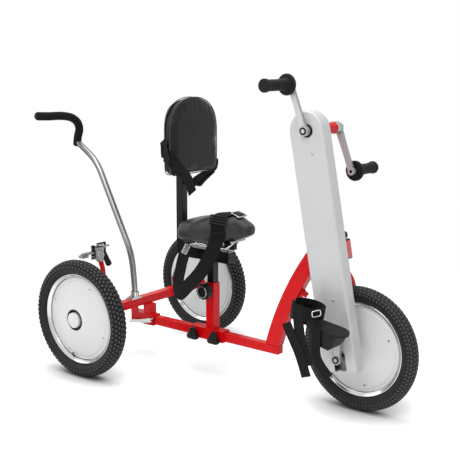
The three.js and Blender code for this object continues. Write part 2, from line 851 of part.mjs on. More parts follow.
// The chain is two rows of waisted plates; the teeth pass between them, and bars join the straight runs
function chainLoop() {
  const plateHalf = 4.1
  const inner = 1.9
  const outer = 4
  const outline = grow => {
    const shape = new THREE.Shape()
    const linksPerHalf = sprocketTeeth / 2
    const ends = [{ centre: 0, start: Math.PI }, { centre: crankRise, start: 0 }]
    ends.forEach((end, e) => {
      for (let i = 0; i <= linksPerHalf * 2; i++) {
        const angle = end.start + i / (linksPerHalf * 2) * Math.PI
        const waist = i % 2 === 1 && i > 0 && i < linksPerHalf * 2 ? 1.1 : 0
        const radius = pitchRadius + grow * (plateHalf - waist)
        const x = radius * Math.cos(angle)
        const z = end.centre + radius * Math.sin(angle)
        if (e === 0 && i === 0) shape.moveTo(x, z)
        else shape.lineTo(x, z)
      }
    })
    shape.closePath()
    return shape
  }
  const ring = outline(1)
  ring.holes.push(outline(-1))
  const rows = [plate(ring, chainSide + inner, chainSide + outer), plate(ring, chainSide - outer, chainSide - inner)]
  const reach = 1.5
  const toothTop = pitchRadius + toothRise
  const clearRise = Math.sqrt(toothTop * toothTop - (pitchRadius - reach) * (pitchRadius - reach)) + 1
  const bars = [-1, 1].map(side => block(side * pitchRadius - reach, side * pitchRadius + reach,
    chainSide - inner - 0.5, chainSide + inner + 0.5, clearRise, crankRise - clearRise))
  return leaning(join(rows[0], rows[1], ...bars))
}

function guardOutline(half, top, bottom) {
  const middle = -guardSetBack
  const shape = new THREE.Shape()
  shape.moveTo(middle - half, bottom)
  shape.lineTo(middle + half, bottom)
  shape.lineTo(middle + half, top)
  shape.absarc(middle, top, half, 0, Math.PI, false)
  shape.closePath()
  return shape
}

const guardSlotRadius = 21

function guardSlot(y0, y1) {
  const slot = block(-guardSlotRadius, guardSlotRadius, y0, y1, -guardBelowAxle - 5, 8)
  return join(slot, pinY(guardSlotRadius, y0, y1, 0, 8, 24))
}

// The tray: a rounded shell, hollow from the wheel side, with the slot for the foot crank
function chainGuard() {
  const half = guardWidth / 2
  const edge = 7
  const shape = guardOutline(half, crankRise, -guardBelowAxle)
  const depth = guardInnerSide - guardOuterSide
  const outer = new THREE.ExtrudeGeometry(shape, {
    depth, bevelEnabled: true, bevelThickness: edge, bevelSize: edge, bevelOffset: -edge,
    bevelSegments: 3, curveSegments: 14
  }).rotateX(Math.PI / 2).translate(0, guardInnerSide + edge, 0)
  const far = 400
  const beyond = block(-far, far, guardInnerSide, guardInnerSide + far, -far, crankRise + far)
  const cavity = plate(guardOutline(half - guardWall, crankRise, guardWall - guardBelowAxle),
    guardOuterSide + guardWall, guardInnerSide + 5, 14)
  const slot = guardSlot(guardOuterSide - 5, guardInnerSide + 5)
  const crankHole = pinY(18, guardOuterSide - 5, guardInnerSide - 10, 0, crankRise, 24)
  const screws = guardScrewRises.map(rise => pinY(4, guardOuterSide - 1.4, guardOuterSide + 1, 8, rise, 8))
  const inside = shiftOuter(outer)
  return leaning(join(cut(inside, beyond, cavity, slot, crankHole), ...screws))
}

// The bevel adds its thickness at both ends, so the outer end is brought back to the guard's face
function shiftOuter(geometry) {
  const box = new THREE.Box3().setFromBufferAttribute(geometry.attributes.position)
  return geometry.translate(0, guardOuterSide - box.min.y, 0)
}

const guardScrewRises = [178, 617]

function guardBack() {
  const half = guardWidth / 2
  const sheet = plate(guardOutline(half, crankRise, -guardBelowAxle), guardInnerSide + gap,
    guardInnerSide + gap + 2, 14)
  const slot = guardSlot(guardInnerSide - 5, guardInnerSide + 8)
  const crankHole = pinY(11, guardInnerSide - 5, guardInnerSide + 8, 0, crankRise, 20)
  return leaning(cut(sheet, slot, crankHole))
}

// Steering: fork, mast and the shell of the hand crank

const crownRise = 212
const crownHeight = headTubeFoot - headCupHeight - gap - crownRise
const legThickness = 13
const shellRadius = 18
const shellRight = guardInnerSide + gap * 2 + 2
const shellLeft = crankFaceLeft - crankThickness - 2

// Two slim legs meet in an arch over the tyre; the steering line runs behind them
function fork() {
  const crownTop = crownRise + crownHeight
  const outer = forkInner + legThickness
  const shoulder = crownRise - 22
  const arch = new THREE.Shape()
  arch.moveTo(-outer, shoulder - 30)
  arch.lineTo(-outer, shoulder)
  arch.quadraticCurveTo(-outer, crownRise + 8, -20, crownTop)
  arch.lineTo(20, crownTop)
  arch.quadraticCurveTo(outer, crownRise + 8, outer, shoulder)
  arch.lineTo(outer, shoulder - 30)
  arch.lineTo(forkInner, shoulder - 30)
  arch.lineTo(forkInner, shoulder)
  arch.quadraticCurveTo(forkInner, crownRise - 4, 22, crownRise - 4)
  arch.lineTo(-22, crownRise - 4)
  arch.quadraticCurveTo(-forkInner, crownRise - 4, -forkInner, shoulder)
  arch.lineTo(-forkInner, shoulder - 30)
  arch.closePath()
  const crown = plate(arch, -13, 13, 5).rotateZ(Math.PI / 2).translate(-steerTrail + 1, 0, 0)
  const leg = side => {
    const shape = new THREE.Shape()
    shape.moveTo(-11, 0)
    shape.lineTo(11, 0)
    shape.lineTo(14 - steerTrail, shoulder)
    shape.lineTo(-12 - steerTrail, shoulder)
    shape.closePath()
    const y0 = side > 0 ? forkInner : -outer
    return plate(shape, y0, y0 + legThickness)
  }
  const bearing = 20
  const bossRight = pinY(bearing, shellRight, -forkInner, 0, 0, 18)
  const bossLeft = pinY(bearing, forkInner, footLeftFace - crankThickness - 1.5, 0, 0, 18)
  const tab = block(-9 - steerTrail, 9 - steerTrail, shellRight, -forkInner - 2, shoulder - 40, shoulder)
  const bore = pinY(spindleRadius + 0.6, -200, 200, 0, 0, 20)
  const steererHole = pinZ(steererRadius + gap + 0.2, crownRise - 9, crownTop + 5, -steerTrail)
  return leaning(cut(join(crown, leg(-1), leg(1), bossRight, bossLeft, tab), bore, steererHole))
}

// The mast runs from the crown through the head tube up to the crank shell
function steeringMast() {
  const top = crankRise + 4
  const shell = pinY(shellRadius, shellRight, shellLeft, 0, crankRise)
  const mast = pinZ(steererRadius, crownRise + 1, top, -steerTrail)
  const collarFoot = headTubeFoot + headTubeLength + headCupHeight + gap
  const collar = pinZ(17, collarFoot, collarFoot + 14, -steerTrail)
  const sheath = pinZ(14.3, collarFoot + 10, top, -steerTrail, 0, 20)
  const bore = pinY(spindleRadius + 0.6, -200, 200, 0, crankRise)
  return leaning(cut(join(shell, mast, collar, sheath), bore))
}

function buildSteering() {
  add('steering_fork', fork(), 'red')
  add('steering_mast', steeringMast(), 'red')
  add('chain_guard', chainGuard(), 'silver')
  add('guard_back', guardBack(), 'silver')
  add('drive_chain', chainLoop(), 'steel')
}

// Cranks, grips and pedals

const pinRadius = 5
const eyeThickness = 12
const armFlare = 4

// An arm from its boss at the origin up to its eye, face of the boss at y1
function crankArm(length, y1, y0, flare) {
  const boss = pinY(15, y0, y1, 0, 0, 16)
  const eye = pinY(12, y0 - flare, y0 - flare + eyeThickness, 0, length, 14)
  const shape = new THREE.Shape()
  shape.moveTo(-11, 6)
  shape.quadraticCurveTo(-8, length / 2, -9, length)
  shape.lineTo(9, length)
  shape.quadraticCurveTo(8, length / 2, 11, 6)
  shape.closePath()
  const web = plate(shape, y0 + 1, y0 + 12, 6)
  const lean = new THREE.Matrix4().makeShear(0, 0, 0, 0, 0, -flare / length)
  web.applyMatrix4(lean)
  const hole = pinY(spindleRadius + gap, -300, 300, 0, 0, 16)
  const eyeHole = pinY(pinRadius + gap, -300, 300, 0, length, 12)
  return cut(join(boss, eye, web), hole, eyeHole)
}

// A right arm has its outer face at the more negative y; the left one is the same arm turned about
function armRight(length) {
  return crankArm(length, crankFaceRight + crankThickness, crankFaceRight, armFlare)
}

function armLeft(length, face) {
  return armRight(length)
    .translate(0, -crankFaceRight, 0)
    .rotateZ(Math.PI)
    .translate(0, face, 0)
}

const gripStart = 8
const gripLength = 121
const flangeRadius = 32

// The grip with its flange at the inner end and a bead at the outer end, and the pin it turns on
function handGrip() {
  const start = gripStart
  const end = start + gripLength
  return turned([
    [0, 1 - eyeThickness], [pinRadius, 1 - eyeThickness], [pinRadius, start - 3], [9, start - 3], [9, start], [flangeRadius - 3, start],
    [flangeRadius, start + 3], [flangeRadius, start + 8], [flangeRadius - 5, start + 11],
    [19, start + 11], [17, start + 15], [17, end - 15], [20, end - 11], [20, end - 2],
    [17, end], [0, end]
  ], 16)
}

function buildHandCrank() {
  const spindle = join(
    pinY(spindleRadius, crankFaceRight - 1.5, crankFaceLeft + 1.5),
    pinY(11, crankFaceRight - 3, crankFaceRight - gap, 0, 0, 16),
    pinY(11, crankFaceLeft + gap, crankFaceLeft + 3, 0, 0, 16)
  )
  const aim = handCrankAngle - steerLean
  add('hand_crank_axle', atHandCrank(spindle), 'steel')
  add('upper_sprocket', atHandCrank(sprocket(0)), 'steel')
  add('hand_crank_right', atHandCrank(armRight(handCrankLength).rotateY(-aim)), 'chrome')
  add('hand_crank_left', atHandCrank(armLeft(handCrankLength, crankFaceLeft).rotateY(Math.PI - aim)), 'chrome')
  const gripRight = handGrip().rotateZ(Math.PI).translate(0, crankFaceRight - armFlare, handCrankLength)
  const gripLeft = handGrip().translate(0, crankFaceLeft + armFlare, handCrankLength)
  add('hand_grip_right', atHandCrank(gripRight.rotateY(-aim)), 'rubber')
  add('hand_grip_left', atHandCrank(gripLeft.rotateY(Math.PI - aim)), 'rubber')
}

const pedalTilt = 10 * Math.PI / 180
const pedalWidth = 76
const pedalInner = 12
const soleTop = 29.5
const soleThickness = 7
const heelEnd = -142
const toeEnd = 48

// The foot plate, the block under it and the cup round the heel, with the pin that runs into the crank
function footPedal(side) {
  const half = pedalWidth / 2
  const plan = new THREE.Shape()
  plan.moveTo(heelEnd + half * 0.8, -half * 0.82)
  plan.lineTo(toeEnd - half * 0.8, -half)
  plan.absarc(toeEnd - half * 0.8, 0, half, -Math.PI / 2, Math.PI / 2, false)
  plan.lineTo(heelEnd + half * 0.8, half * 0.82)
  plan.absarc(heelEnd + half * 0.8, 0, half * 0.82, Math.PI / 2, 1.5 * Math.PI, false)
  plan.closePath()
  const flat = (shape, z0, z1) => new THREE.ExtrudeGeometry(shape,
    { depth: z1 - z0, bevelEnabled: false, curveSegments: 10 }).translate(0, 0, z0)
  const sole = flat(plan, soleTop - soleThickness, soleTop)
  const cupHole = new THREE.Path()
  cupHole.absarc(heelEnd + half * 0.8, 0, half * 0.82 - 4, 0, 2 * Math.PI, true)
  const cup = new THREE.Shape()
  cup.absarc(heelEnd + half * 0.8, 0, half * 0.82, 0, 2 * Math.PI, false)
  cup.holes.push(cupHole)
  const heelCup = cut(flat(cup, soleTop - 1, soleTop + 36),
    block(heelEnd + half * 0.8 + 12, 100, -80, 80, soleTop, soleTop + 60))
  const flank = new THREE.Shape()
  flank.moveTo(-58, soleTop - soleThickness + 1)
  flank.lineTo(-50, 10)
  flank.lineTo(-14, -22)
  flank.lineTo(20, -24)
  flank.lineTo(30, -6)
  flank.lineTo(toeEnd - 12, soleTop - soleThickness + 1)
  flank.closePath()
  const body = plate(flank, -half + 2, half - 2)
  const reach = half + pedalInner - armFlare + eyeThickness - 1
  const pin = side > 0 ? pinY(pinRadius, -reach, 0, 0, 0, 12) : pinY(pinRadius, 0, reach, 0, 0, 12)
  return join(sole, heelCup, body, pin)
}

// The soft cuff round the ankle, a tilted ring of strap with its tail hanging down
function footCuff() {
  const centre = heelEnd + 42
  const stops = []
  const turns = 11
  for (let i = 0; i <= turns; i++) {
    const angle = Math.PI + 0.25 + i / turns * (2 * Math.PI - 0.5)
    const x = centre + 50 * Math.cos(angle)
    const y = 36.2 * Math.sin(angle)
    const lift = 28 + 8 * Math.cos(angle)
    stops.push({ at: at(x, y, soleTop + lift), face: at(Math.cos(angle), Math.sin(angle), 0) })
  }
  return strap(stops, 34, 5, 26)
}

// The loose end of the cuff's strap hangs from the outer side, nearly plumb
function cuffTail(side, length) {
  const top = soleTop + 34
  const x = heelEnd + 14
  return strap([
    { at: at(x, side * 29.6, top), face: at(-0.5, side, 0) },
    { at: at(x + 6, side * 36, top - length * 0.3), face: at(-0.2, side, 0) },
    { at: at(x + 34, side * 41, top - length * 0.65), face: at(0, side, 0) },
    { at: at(x + 80, side * 42, top - length), face: at(0, side, 0) }
  ], 26, 2, 10)
}

function buildPedal(side) {
  const name = side > 0 ? 'left' : 'right'
  const face = side > 0 ? footLeftFace : crankFaceRight
  const angle = side > 0 ? footCrankAngle + Math.PI : footCrankAngle
  const arm = side > 0 ? armLeft(footCrankLength, face) : armRight(footCrankLength)
  const place = geometry => geometry.rotateY(-angle).translate(wheelbase, 0, frontTyreRadius)
  add(`foot_crank_${name}`, place(arm), 'chrome')
  const x = wheelbase - footCrankLength * Math.sin(angle)
  const y = face + side * (pedalInner + pedalWidth / 2)
  const z = frontTyreRadius + footCrankLength * Math.cos(angle)
  const seat = geometry => geometry.rotateY(pedalTilt).translate(x, y, z)
  const tailLength = side > 0 ? 70 : 180
  add(`foot_pedal_${name}`, seat(footPedal(side)), 'plastic')
  add(`foot_cuff_${name}`, seat(join(footCuff(), cuffTail(side, tailLength))), 'webbing')
}

// Seat: sleeve, post, saddle and back

const bracketRear = 205
const bracketFront = 400
const backPostX = 177
const backPostSize = 28
const backBarInside = 330
const backPostTop = 840

const sleeveRear = 228
const sleeveFront = 376

function seatSleeve() {
  const half = sleeveSize / 2
  const bore = mainTubeSize / 2 + gap
  const tubeHalf = seatTubeSize / 2
  const postBore = seatPostSize / 2 + gap
  const top = mainTubeHeight + half
  const sleeve = block(sleeveRear, sleeveFront, -half, half, mainTubeHeight - half, top)
  const tube = block(seatTubeCentre - tubeHalf, seatTubeCentre + tubeHalf, -tubeHalf, tubeHalf, top - 1, seatTubeTop)
  const passage = block(200, 420, -bore, bore, mainTubeHeight - bore, mainTubeHeight + bore)
  const well = block(seatTubeCentre - postBore, seatTubeCentre + postBore, -postBore, postBore,
    top + 3, seatTubeTop + 5)
  return cut(join(sleeve, tube), passage, well)
}

// A three-cornered knob that tightens on the sleeve
function cornerKnob(x) {
  const reach = 24
  const shape = new THREE.Shape()
  for (let i = 0; i < 3; i++) {
    const corner = i / 3 * 2 * Math.PI + Math.PI / 2
    const before = corner - 0.28
    const after = corner + 0.28
    const flank = corner + Math.PI / 3
    if (i === 0) shape.moveTo(reach * Math.cos(before), reach * Math.sin(before))
    shape.quadraticCurveTo(reach * 1.14 * Math.cos(corner), reach * 1.14 * Math.sin(corner),
      reach * Math.cos(after), reach * Math.sin(after))
    shape.quadraticCurveTo(reach * 0.74 * Math.cos(flank), reach * 0.74 * Math.sin(flank),
      reach * Math.cos(flank + Math.PI / 3 - 0.28), reach * Math.sin(flank + Math.PI / 3 - 0.28))
  }
  const side = -sleeveSize / 2 - gap
  const head = new THREE.ExtrudeGeometry(shape, {
    depth: 12, bevelEnabled: true, bevelThickness: 3, bevelSize: 3, bevelOffset: -3, bevelSegments: 2, curveSegments: 4
  }).rotateX(Math.PI / 2).translate(0, side - 6 - 3, 0)
  const neck = pinY(8, side - 8, side, 0, 0, 16)
  return join(head, neck).translate(x, 0, mainTubeHeight - 6)
}

// The round ribbed knob of the seat post
function postKnob() {
  const ribs = 12
  const shape = new THREE.Shape()
  for (let i = 0; i < ribs; i++) {
    for (const [share, radius] of [[-0.3, 28], [0.3, 28], [0.4, 25.5], [0.6, 25.5]]) {
      const angle = (i + share) / ribs * 2 * Math.PI
      const x = radius * Math.cos(angle)
      const z = radius * Math.sin(angle)
      if (i === 0 && share === -0.3) shape.moveTo(x, z)
      else shape.lineTo(x, z)
    }
  }
  shape.closePath()
  const side = -seatTubeSize / 2 - gap
  const head = plate(shape, side - 33, side - 11)
  const bezel = pinY(23, side - 35, side - 32, 0, 0, 24)
  const neck = pinY(9, side - 13, side, 0, 0, 16)
  return join(head, bezel, neck).translate(seatTubeCentre - 5, 0, 290)
}

function seatPost() {
  const half = seatPostSize / 2
  return block(seatTubeCentre - half, seatTubeCentre + half, -half, half, 176, bracketBottom - gap)
}

function saddleBracket() {
  const half = bracketSize / 2
  const bore = backPostSize / 2 + gap
  const middle = bracketBottom + half
  return cut(
    block(bracketRear, bracketFront, -half, half, bracketBottom, bracketBottom + bracketSize),
    block(bracketRear - 5, bracketFront - 4, -bore, bore, middle - bore, middle + bore)
  )
}

const saddleRear = 224
const saddleNose = 488
const saddleHalfWidth = 116
const noseHalfWidth = 30
const saddleNoseLift = 40

// How high the underside of the saddle is at x
function saddleFoot(x) {
  const share = (x - saddleRear) / (saddleNose - saddleRear)
  return saddleBottom + saddleNoseLift * Math.pow(Math.max(0, share), 4)
}

// How high its middle line is: low behind, highest over the belt, and falling to the nose
function saddleCrest(share) {
  const rise = 28 * THREE.MathUtils.smoothstep(share, 0.08, 0.58)
  const fall = 30 * THREE.MathUtils.smoothstep(share, 0.68, 1.05)
  return saddleBottom + 72 + rise - fall
}

// Chrome rails and their clamp on the bracket, with the pan that carries the saddle
function saddleRails() {
  const foot = bracketBottom + bracketSize + gap
  const railFront = 420
  const railRear = 262
  const clamp = block(318, 358, -26, 26, foot, foot + 18)
  const rail = side => tubeAlong(bentLine([
    at(railRear, side * 32, saddleFoot(railRear) - 4),
    at(railRear + 10, side * 26, foot + 12),
    at(railFront - 30, side * 18, foot + 12),
    at(railFront, side * 12, saddleFoot(railFront) - 4)
  ], 14), 3.6, 12, 6)
  const steps = 6
  const panRear = railRear - 6
  const panFront = railFront + 8
  const shape = new THREE.Shape()
  shape.moveTo(panRear, saddleFoot(panRear) - 7)
  for (let i = 0; i <= steps; i++) {
    const x = THREE.MathUtils.lerp(panRear, panFront, i / steps)
    shape.lineTo(x, saddleFoot(x) - 1)
  }
  for (let i = steps; i > 0; i--) {
    const x = THREE.MathUtils.lerp(panRear, panFront, i / steps)
    shape.lineTo(x, saddleFoot(x) - 7)
  }
  shape.closePath()
  return join(clamp, rail(-1), rail(1), plate(shape, -38, 38))
}

// The saddle widens behind and narrows to its nose; its sides curve in below a rounded top edge
function saddleCushion() {
  const rings = []
  const rows = 18
  const around = 22
  const smooth = THREE.MathUtils.smoothstep
  const mix = THREE.MathUtils.lerp
  for (let i = 0; i <= rows; i++) {
    const share = i / rows
    const x = mix(saddleRear, saddleNose, share)
    const ease = smooth(share, 0.26, 0.92)
    const rearRound = Math.sqrt(Math.max(0.02, 1 - Math.pow(Math.max(0, 0.15 - share) / 0.157, 2)))
    const noseRound = Math.sqrt(Math.max(0.03, 1 - Math.pow(Math.max(0, share - 0.86) / 0.142, 2)))
    const half = mix(saddleHalfWidth, noseHalfWidth, ease) * rearRound * noseRound
    const foot = saddleFoot(x)
    const height = (saddleCrest(share) - foot) * (0.55 + 0.45 * rearRound) * (0.5 + 0.5 * noseRound)
    const ring = []
    for (let k = 0; k < around; k++) {
      const angle = k / around * 2 * Math.PI
      const c = Math.cos(angle)
      const s = Math.sin(angle)
      const y = half * Math.sign(c) * Math.pow(Math.abs(c), 0.6)
      const level = Math.sign(s) * Math.pow(Math.abs(s), 0.6)
      const drawn = s < 0 ? 1 - 0.1 * s * s : 1
      ring.push(at(x, y * drawn, foot + height * (0.5 + 0.5 * level)))
    }
    rings.push(ring)
  }
  return skin(rings)
}

const beltWidth = 46
const beltThickness = 2.6
const seatingGap = 0.6
const beltTop = saddleCrest(0.62) + beltThickness / 2 + seatingGap

// The right half of the belt climbs from its slack loop over the saddle's edge to the buckle
function saddleBelt() {
  return strap([
    { at: at(248, -50, 446), face: at(0, -1, 0) },
    { at: at(243, -64, 404), face: at(0, -1, 0) },
    { at: at(235, -74, 350), face: at(0, -1, 0) },
    { at: at(232, -82, 300), face: at(0, -1, 0) },
    { at: at(256, -88, 268), face: at(0, -1, 0) },
    { at: at(300, -91, 311), face: at(0, -1, 0) },
    { at: at(346, -89, 366), face: at(0.2, -1, 0) },
    { at: at(372, -80, 419), face: at(0.4, -0.9, 0) },
    { at: at(388, -71, 467), face: at(0.56, -0.83, 0) },
    { at: at(392, -67.4, 517), face: at(0.58, -0.81, 0) },
    { at: at(389.5, -68.6, 541), face: at(0.5, -0.8, 0.3) },
    { at: at(384.5, -63.2, 558), face: at(0.3, -0.6, 0.75) },
    { at: at(378, -48, beltTop - 1.5), face: at(0, -0.2, 1) },
    { at: at(385, -24, beltTop + 0.4), face: at(0, 0, 1) },
    { at: at(397, -7, beltTop + 0.4), face: at(0, 0, 1) },
    { at: at(408, 2, beltTop - 0.3), face: at(0.05, 0, 1) }
  ], beltWidth, beltThickness, 48)
}

const buckleHalf = 23
const buckleThickness = 4
const buckleButtonHalf = 17
const buckleButtonRise = 7
const buckleSlope = 0.16
const buckleX = 428
const buckleY = 8
const buckleSeat = 0.1

// The buckle's plate lies on the crest
function beltBuckle() {
  return join(
    block(-buckleHalf, buckleHalf, -buckleHalf, buckleHalf, 0, buckleThickness),
    block(-buckleButtonHalf, buckleButtonHalf, -buckleButtonHalf, buckleButtonHalf,
      buckleThickness - 1, buckleButtonRise)
  ).rotateY(buckleSlope).translate(buckleX, buckleY, beltTop + buckleSeat)
}

function backPost() {
  const half = backPostSize / 2
  const middle = bracketBottom + bracketSize / 2
  return join(
    block(backPostX - half, backBarInside, -half, half, middle - half, middle + half),
    block(backPostX - half, backPostX + half, -half, half, middle - half, backPostTop)
  )
}

const padCorner = 26
const padShoulderShare = 0.86
const padHaunchShare = 0.2
const padArchShare = 0.62

function padOutline(inset) {
  const half = padWidth / 2 - inset
  const shape = new THREE.Shape()
  const low = padBottom + inset
  const corner = padCorner
  const arch = half * padArchShare
  const haunch = padTop - inset - half * padHaunchShare
  const shoulder = padTop - inset - half * padShoulderShare
  shape.moveTo(-half + corner, low)
  shape.lineTo(half - corner, low)
  shape.quadraticCurveTo(half, low, half, low + corner)
  shape.lineTo(half, shoulder)
  shape.bezierCurveTo(half, haunch, arch, padTop - inset, 0, padTop - inset)
  shape.bezierCurveTo(-arch, padTop - inset, -half, haunch, -half, shoulder)
  shape.lineTo(-half, low + corner)
  shape.quadraticCurveTo(-half, low, -half + corner, low)
  return shape
}

const boardThickness = 6
const boardInset = 8
const boardBack = padFront - padThickness
const channelWall = 3
const channelRise = 40
const channelLength = 80
const padCrown = 1.5

// The board carries the pad, and a channel behind it slides on the post
function backBoard() {
  const board = new THREE.ExtrudeGeometry(padOutline(boardInset), {
    depth: boardThickness, bevelEnabled: false, curveSegments: 10
  })
    .rotateX(Math.PI / 2).rotateZ(Math.PI / 2).translate(boardBack, 0, 0)
  const bore = backPostSize / 2 + gap
  const outer = bore + channelWall
  const foot = padBottom + channelRise
  const channel = cut(
    block(backPostX - outer, boardBack + 1, -outer, outer, foot, foot + channelLength),
    block(backPostX - bore, backPostX + bore, -bore, bore, padBottom, foot + 2 * channelLength)
  )
  return join(board, channel)
}

// The pad is a crowned cushion with drawn-in sides
function backPad() {
  const back = boardBack + boardThickness + gap
  const outline = padOutline(0).getSpacedPoints(48).slice(0, 48)
  const middle = (padBottom + padTop) / 2
  const rings = []
  for (const [depthShare, size] of [[0, 0.94], [0.3, 0.99], [0.6, 1], [0.82, 0.975], [0.94, 0.92], [1, 0.78]]) {
    const x = back + (padFront - back) * (depthShare === 1 ? 1 : depthShare * 0.96)
    rings.push(outline.map(p => at(x, p.x * size, middle + (p.y - middle) * size)))
  }
  rings.push(outline.map(p => at(padFront + padCrown, p.x * 0.4, middle + (p.y - middle) * 0.4)))
  return skin(rings)
}

const chestStrapWidth = 40
const chestStrapSide = boardBack - beltThickness / 2 - seatingGap

// The right half of the chest strap comes round the pad's edge with a fold and hangs over its lower corner
function chestStrapRight() {
  const back = chestStrapSide
  const side = -padWidth / 2 - beltThickness / 2 - seatingGap
  const front = padFront + padCrown + beltThickness / 2 + seatingGap
  return strap([
    { at: at(back, -60, 776), face: at(-1, 0, 0) },
    { at: at(back, -110, 774), face: at(-1, 0, 0) },
    { at: at(back + 2, side - 5, 773), face: at(-0.9, -0.4, 0) },
    { at: at(back + 10, side - 4, 771), face: at(0, -1, 0) },
    { at: at(back + 20, side - 0.5, 764), face: at(0, -1, 0) },
    { at: at(back + 34, side - 0.3, 750), face: at(0.1, -1, 0) },
    { at: at(front - 2.5, side + 5, 738), face: at(0.7, -0.7, 0) },
    { at: at(front, side + 19, 722), face: at(1, -0.1, 0) },
    { at: at(front, -84, 702), face: at(1, 0, 0) },
    { at: at(front, -69, 683), face: at(1, 0, 0) },
    { at: at(front - 2, -54, 661), face: at(1, 0, 0) },
    { at: at(front - 4, -28, 638), face: at(1, 0, 0) },
    { at: at(front - 6, -12, 626), face: at(1, 0, 0) }
  ], chestStrapWidth, beltThickness, 34)
}

// The left half hangs under the pad as a flat loop
const chestLoopWidth = 32
const chestLoopSetback = 21

function chestStrapLeft() {
  const x = padFront - chestLoopSetback
  const low = padBottom - beltThickness / 2 - seatingGap
  return strap([
    { at: at(x, 100, low), face: at(0, 0, 1) },
    { at: at(x, 76, low - 1), face: at(0, 0, 1) },
    { at: at(x, 24, low - 26), face: at(0, 0, 1) },
    { at: at(x, 8, low - 38), face: at(0, -1, 0) },
    { at: at(x, 22, low - 48), face: at(0, 0, -1) },
    { at: at(x, 56, low - 34), face: at(0, 0, -1) }
  ], chestLoopWidth, beltThickness, 20)
}

const rearKnobInset = 26
const frontKnobInset = 29

function buildSeat() {
  add('seat_sleeve', seatSleeve(), 'red')
  add('sleeve_knob_rear', cornerKnob(sleeveRear + rearKnobInset), 'plastic')
  add('sleeve_knob_front', cornerKnob(sleeveFront - frontKnobInset), 'plastic')
  add('seat_post_knob', postKnob(), 'plastic')
  add('seat_post', seatPost(), 'blackPaint')
  add('saddle_bracket', saddleBracket(), 'blackPaint')
  add('saddle_rails', saddleRails(), 'chrome')
  add('saddle_cushion', saddleCushion(), 'vinyl')
  add('saddle_belt', saddleBelt(), 'webbing')
  add('belt_buckle', beltBuckle(), 'chrome')
  add('back_post', backPost(), 'blackPaint')
  add('back_board', backBoard(), 'blackPaint')
  add('back_pad', backPad(), 'vinyl')
  add('chest_strap_right', chestStrapRight(), 'webbing')
  add('chest_strap_left', chestStrapLeft(), 'webbing')
}

buildFrame()
buildRearCarriage()
buildRearWheel(-1)
buildRearWheel(1)
buildFrontWheel()
buildSteering()
buildHandCrank()
buildPedal(-1)
buildPedal(1)
buildSeat()

// The middle of the box goes over the origin, its lowest point on the floor
const box = new THREE.Box3().setFromObject(group)
const middle = box.getCenter(new THREE.Vector3())
for (const mesh of group.children) mesh.geometry.translate(-middle.x, -middle.y, -box.min.z)

export default group
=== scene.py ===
"""Looks for the adaptive tricycle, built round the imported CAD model.

Pieces are drawn in layout millimetres, as the part's source draws them: the rear axle is over x = 0 and
the floor is z = 0. Each finished piece is moved to the frame's own metres as the last thing done to it.
"""
import math

import bpy
import numpy as np
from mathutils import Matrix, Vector


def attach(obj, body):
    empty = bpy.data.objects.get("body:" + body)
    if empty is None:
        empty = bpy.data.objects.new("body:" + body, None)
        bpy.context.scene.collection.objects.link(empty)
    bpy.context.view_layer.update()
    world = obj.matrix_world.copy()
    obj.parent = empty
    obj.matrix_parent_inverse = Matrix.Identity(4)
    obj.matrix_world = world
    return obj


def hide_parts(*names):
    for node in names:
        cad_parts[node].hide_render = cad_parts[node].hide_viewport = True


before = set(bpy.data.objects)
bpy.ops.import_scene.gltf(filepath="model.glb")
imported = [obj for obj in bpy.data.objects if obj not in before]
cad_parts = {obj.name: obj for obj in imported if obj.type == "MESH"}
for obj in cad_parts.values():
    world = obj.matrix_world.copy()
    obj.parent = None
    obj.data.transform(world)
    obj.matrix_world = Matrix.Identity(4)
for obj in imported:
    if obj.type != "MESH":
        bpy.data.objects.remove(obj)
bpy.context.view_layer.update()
renderLevels = 1

# Layout sizes, the same as the part's source, in millimetres and radians

layoutShift = np.array([-402.02, 0.0, 0.02])
wheelbase = 904.0
halfTrack = 326.0
rearRadius = 203.0
frontRadius = 198.0
steerLean = math.radians(10.92)
crankRise = 685.8
guardFace = -122.0
crankFaceRight = -141.0
crankFaceLeft = 60.0
footFaceLeft = 80.0
handCrankLength = 143.0
handCrankAngle = math.radians(20)
footCrankLength = 85.0
footCrankAngle = math.radians(-6)
pedalTilt = math.radians(10)
saddleBottom = 465.0
padFront = 243.0
padBottom = 689.0
padTop = 948.0
pushBarSide = -62.0


def sideName(side):
    """The name of the side: right where side is -1, left where it is 1."""
    return "left" if side > 0 else "right"


def armTurn(angle, side):
    """The turn of a crank's arm: the left one stands opposite to the right one."""
    return angle + (math.pi if side > 0 else 0)


# Camera, first because the photograph's view is what everything is judged from

photoView = {"place": (2270.818, -2387.326, 1107.064), "right": (0.785497, 0.618863, 0.00181),
             "up": (-0.121012, 0.150727, 0.981141), "focalPixels": 918.98, "widthPixels": 460}


def makeCamera():
    """A camera at the place solved from the photograph; its focal length is for a 36 mm sensor."""
    place = np.array(photoView["place"])
    right = Vector(photoView["right"])
    up = Vector(photoView["up"])
    data = bpy.data.cameras.new("photo_camera")
    data.sensor_width = 36.0
    data.lens = photoView["focalPixels"] / photoView["widthPixels"] * data.sensor_width
    data.clip_end = 200.0
    camera = bpy.data.objects.new("photo_camera", data)
    bpy.context.scene.collection.objects.link(camera)
    matrix = camera.matrix_world.copy()
    for column, direction in enumerate((right, up, right.cross(up), (place + layoutShift) / 1000)):
        for row in range(3):
            matrix[row][column] = direction[row]
    camera.matrix_world = matrix
    bpy.context.scene.camera = camera


makeCamera()


# Nodes: shared tools

def feed(tree, socket, value):
    """Gives an input its value: a socket is linked, a colour or a number is set."""
    if isinstance(value, bpy.types.NodeSocket):
        tree.links.new(value, socket)
    else:
        socket.default_value = (*value, 1) if isinstance(value, tuple) else value


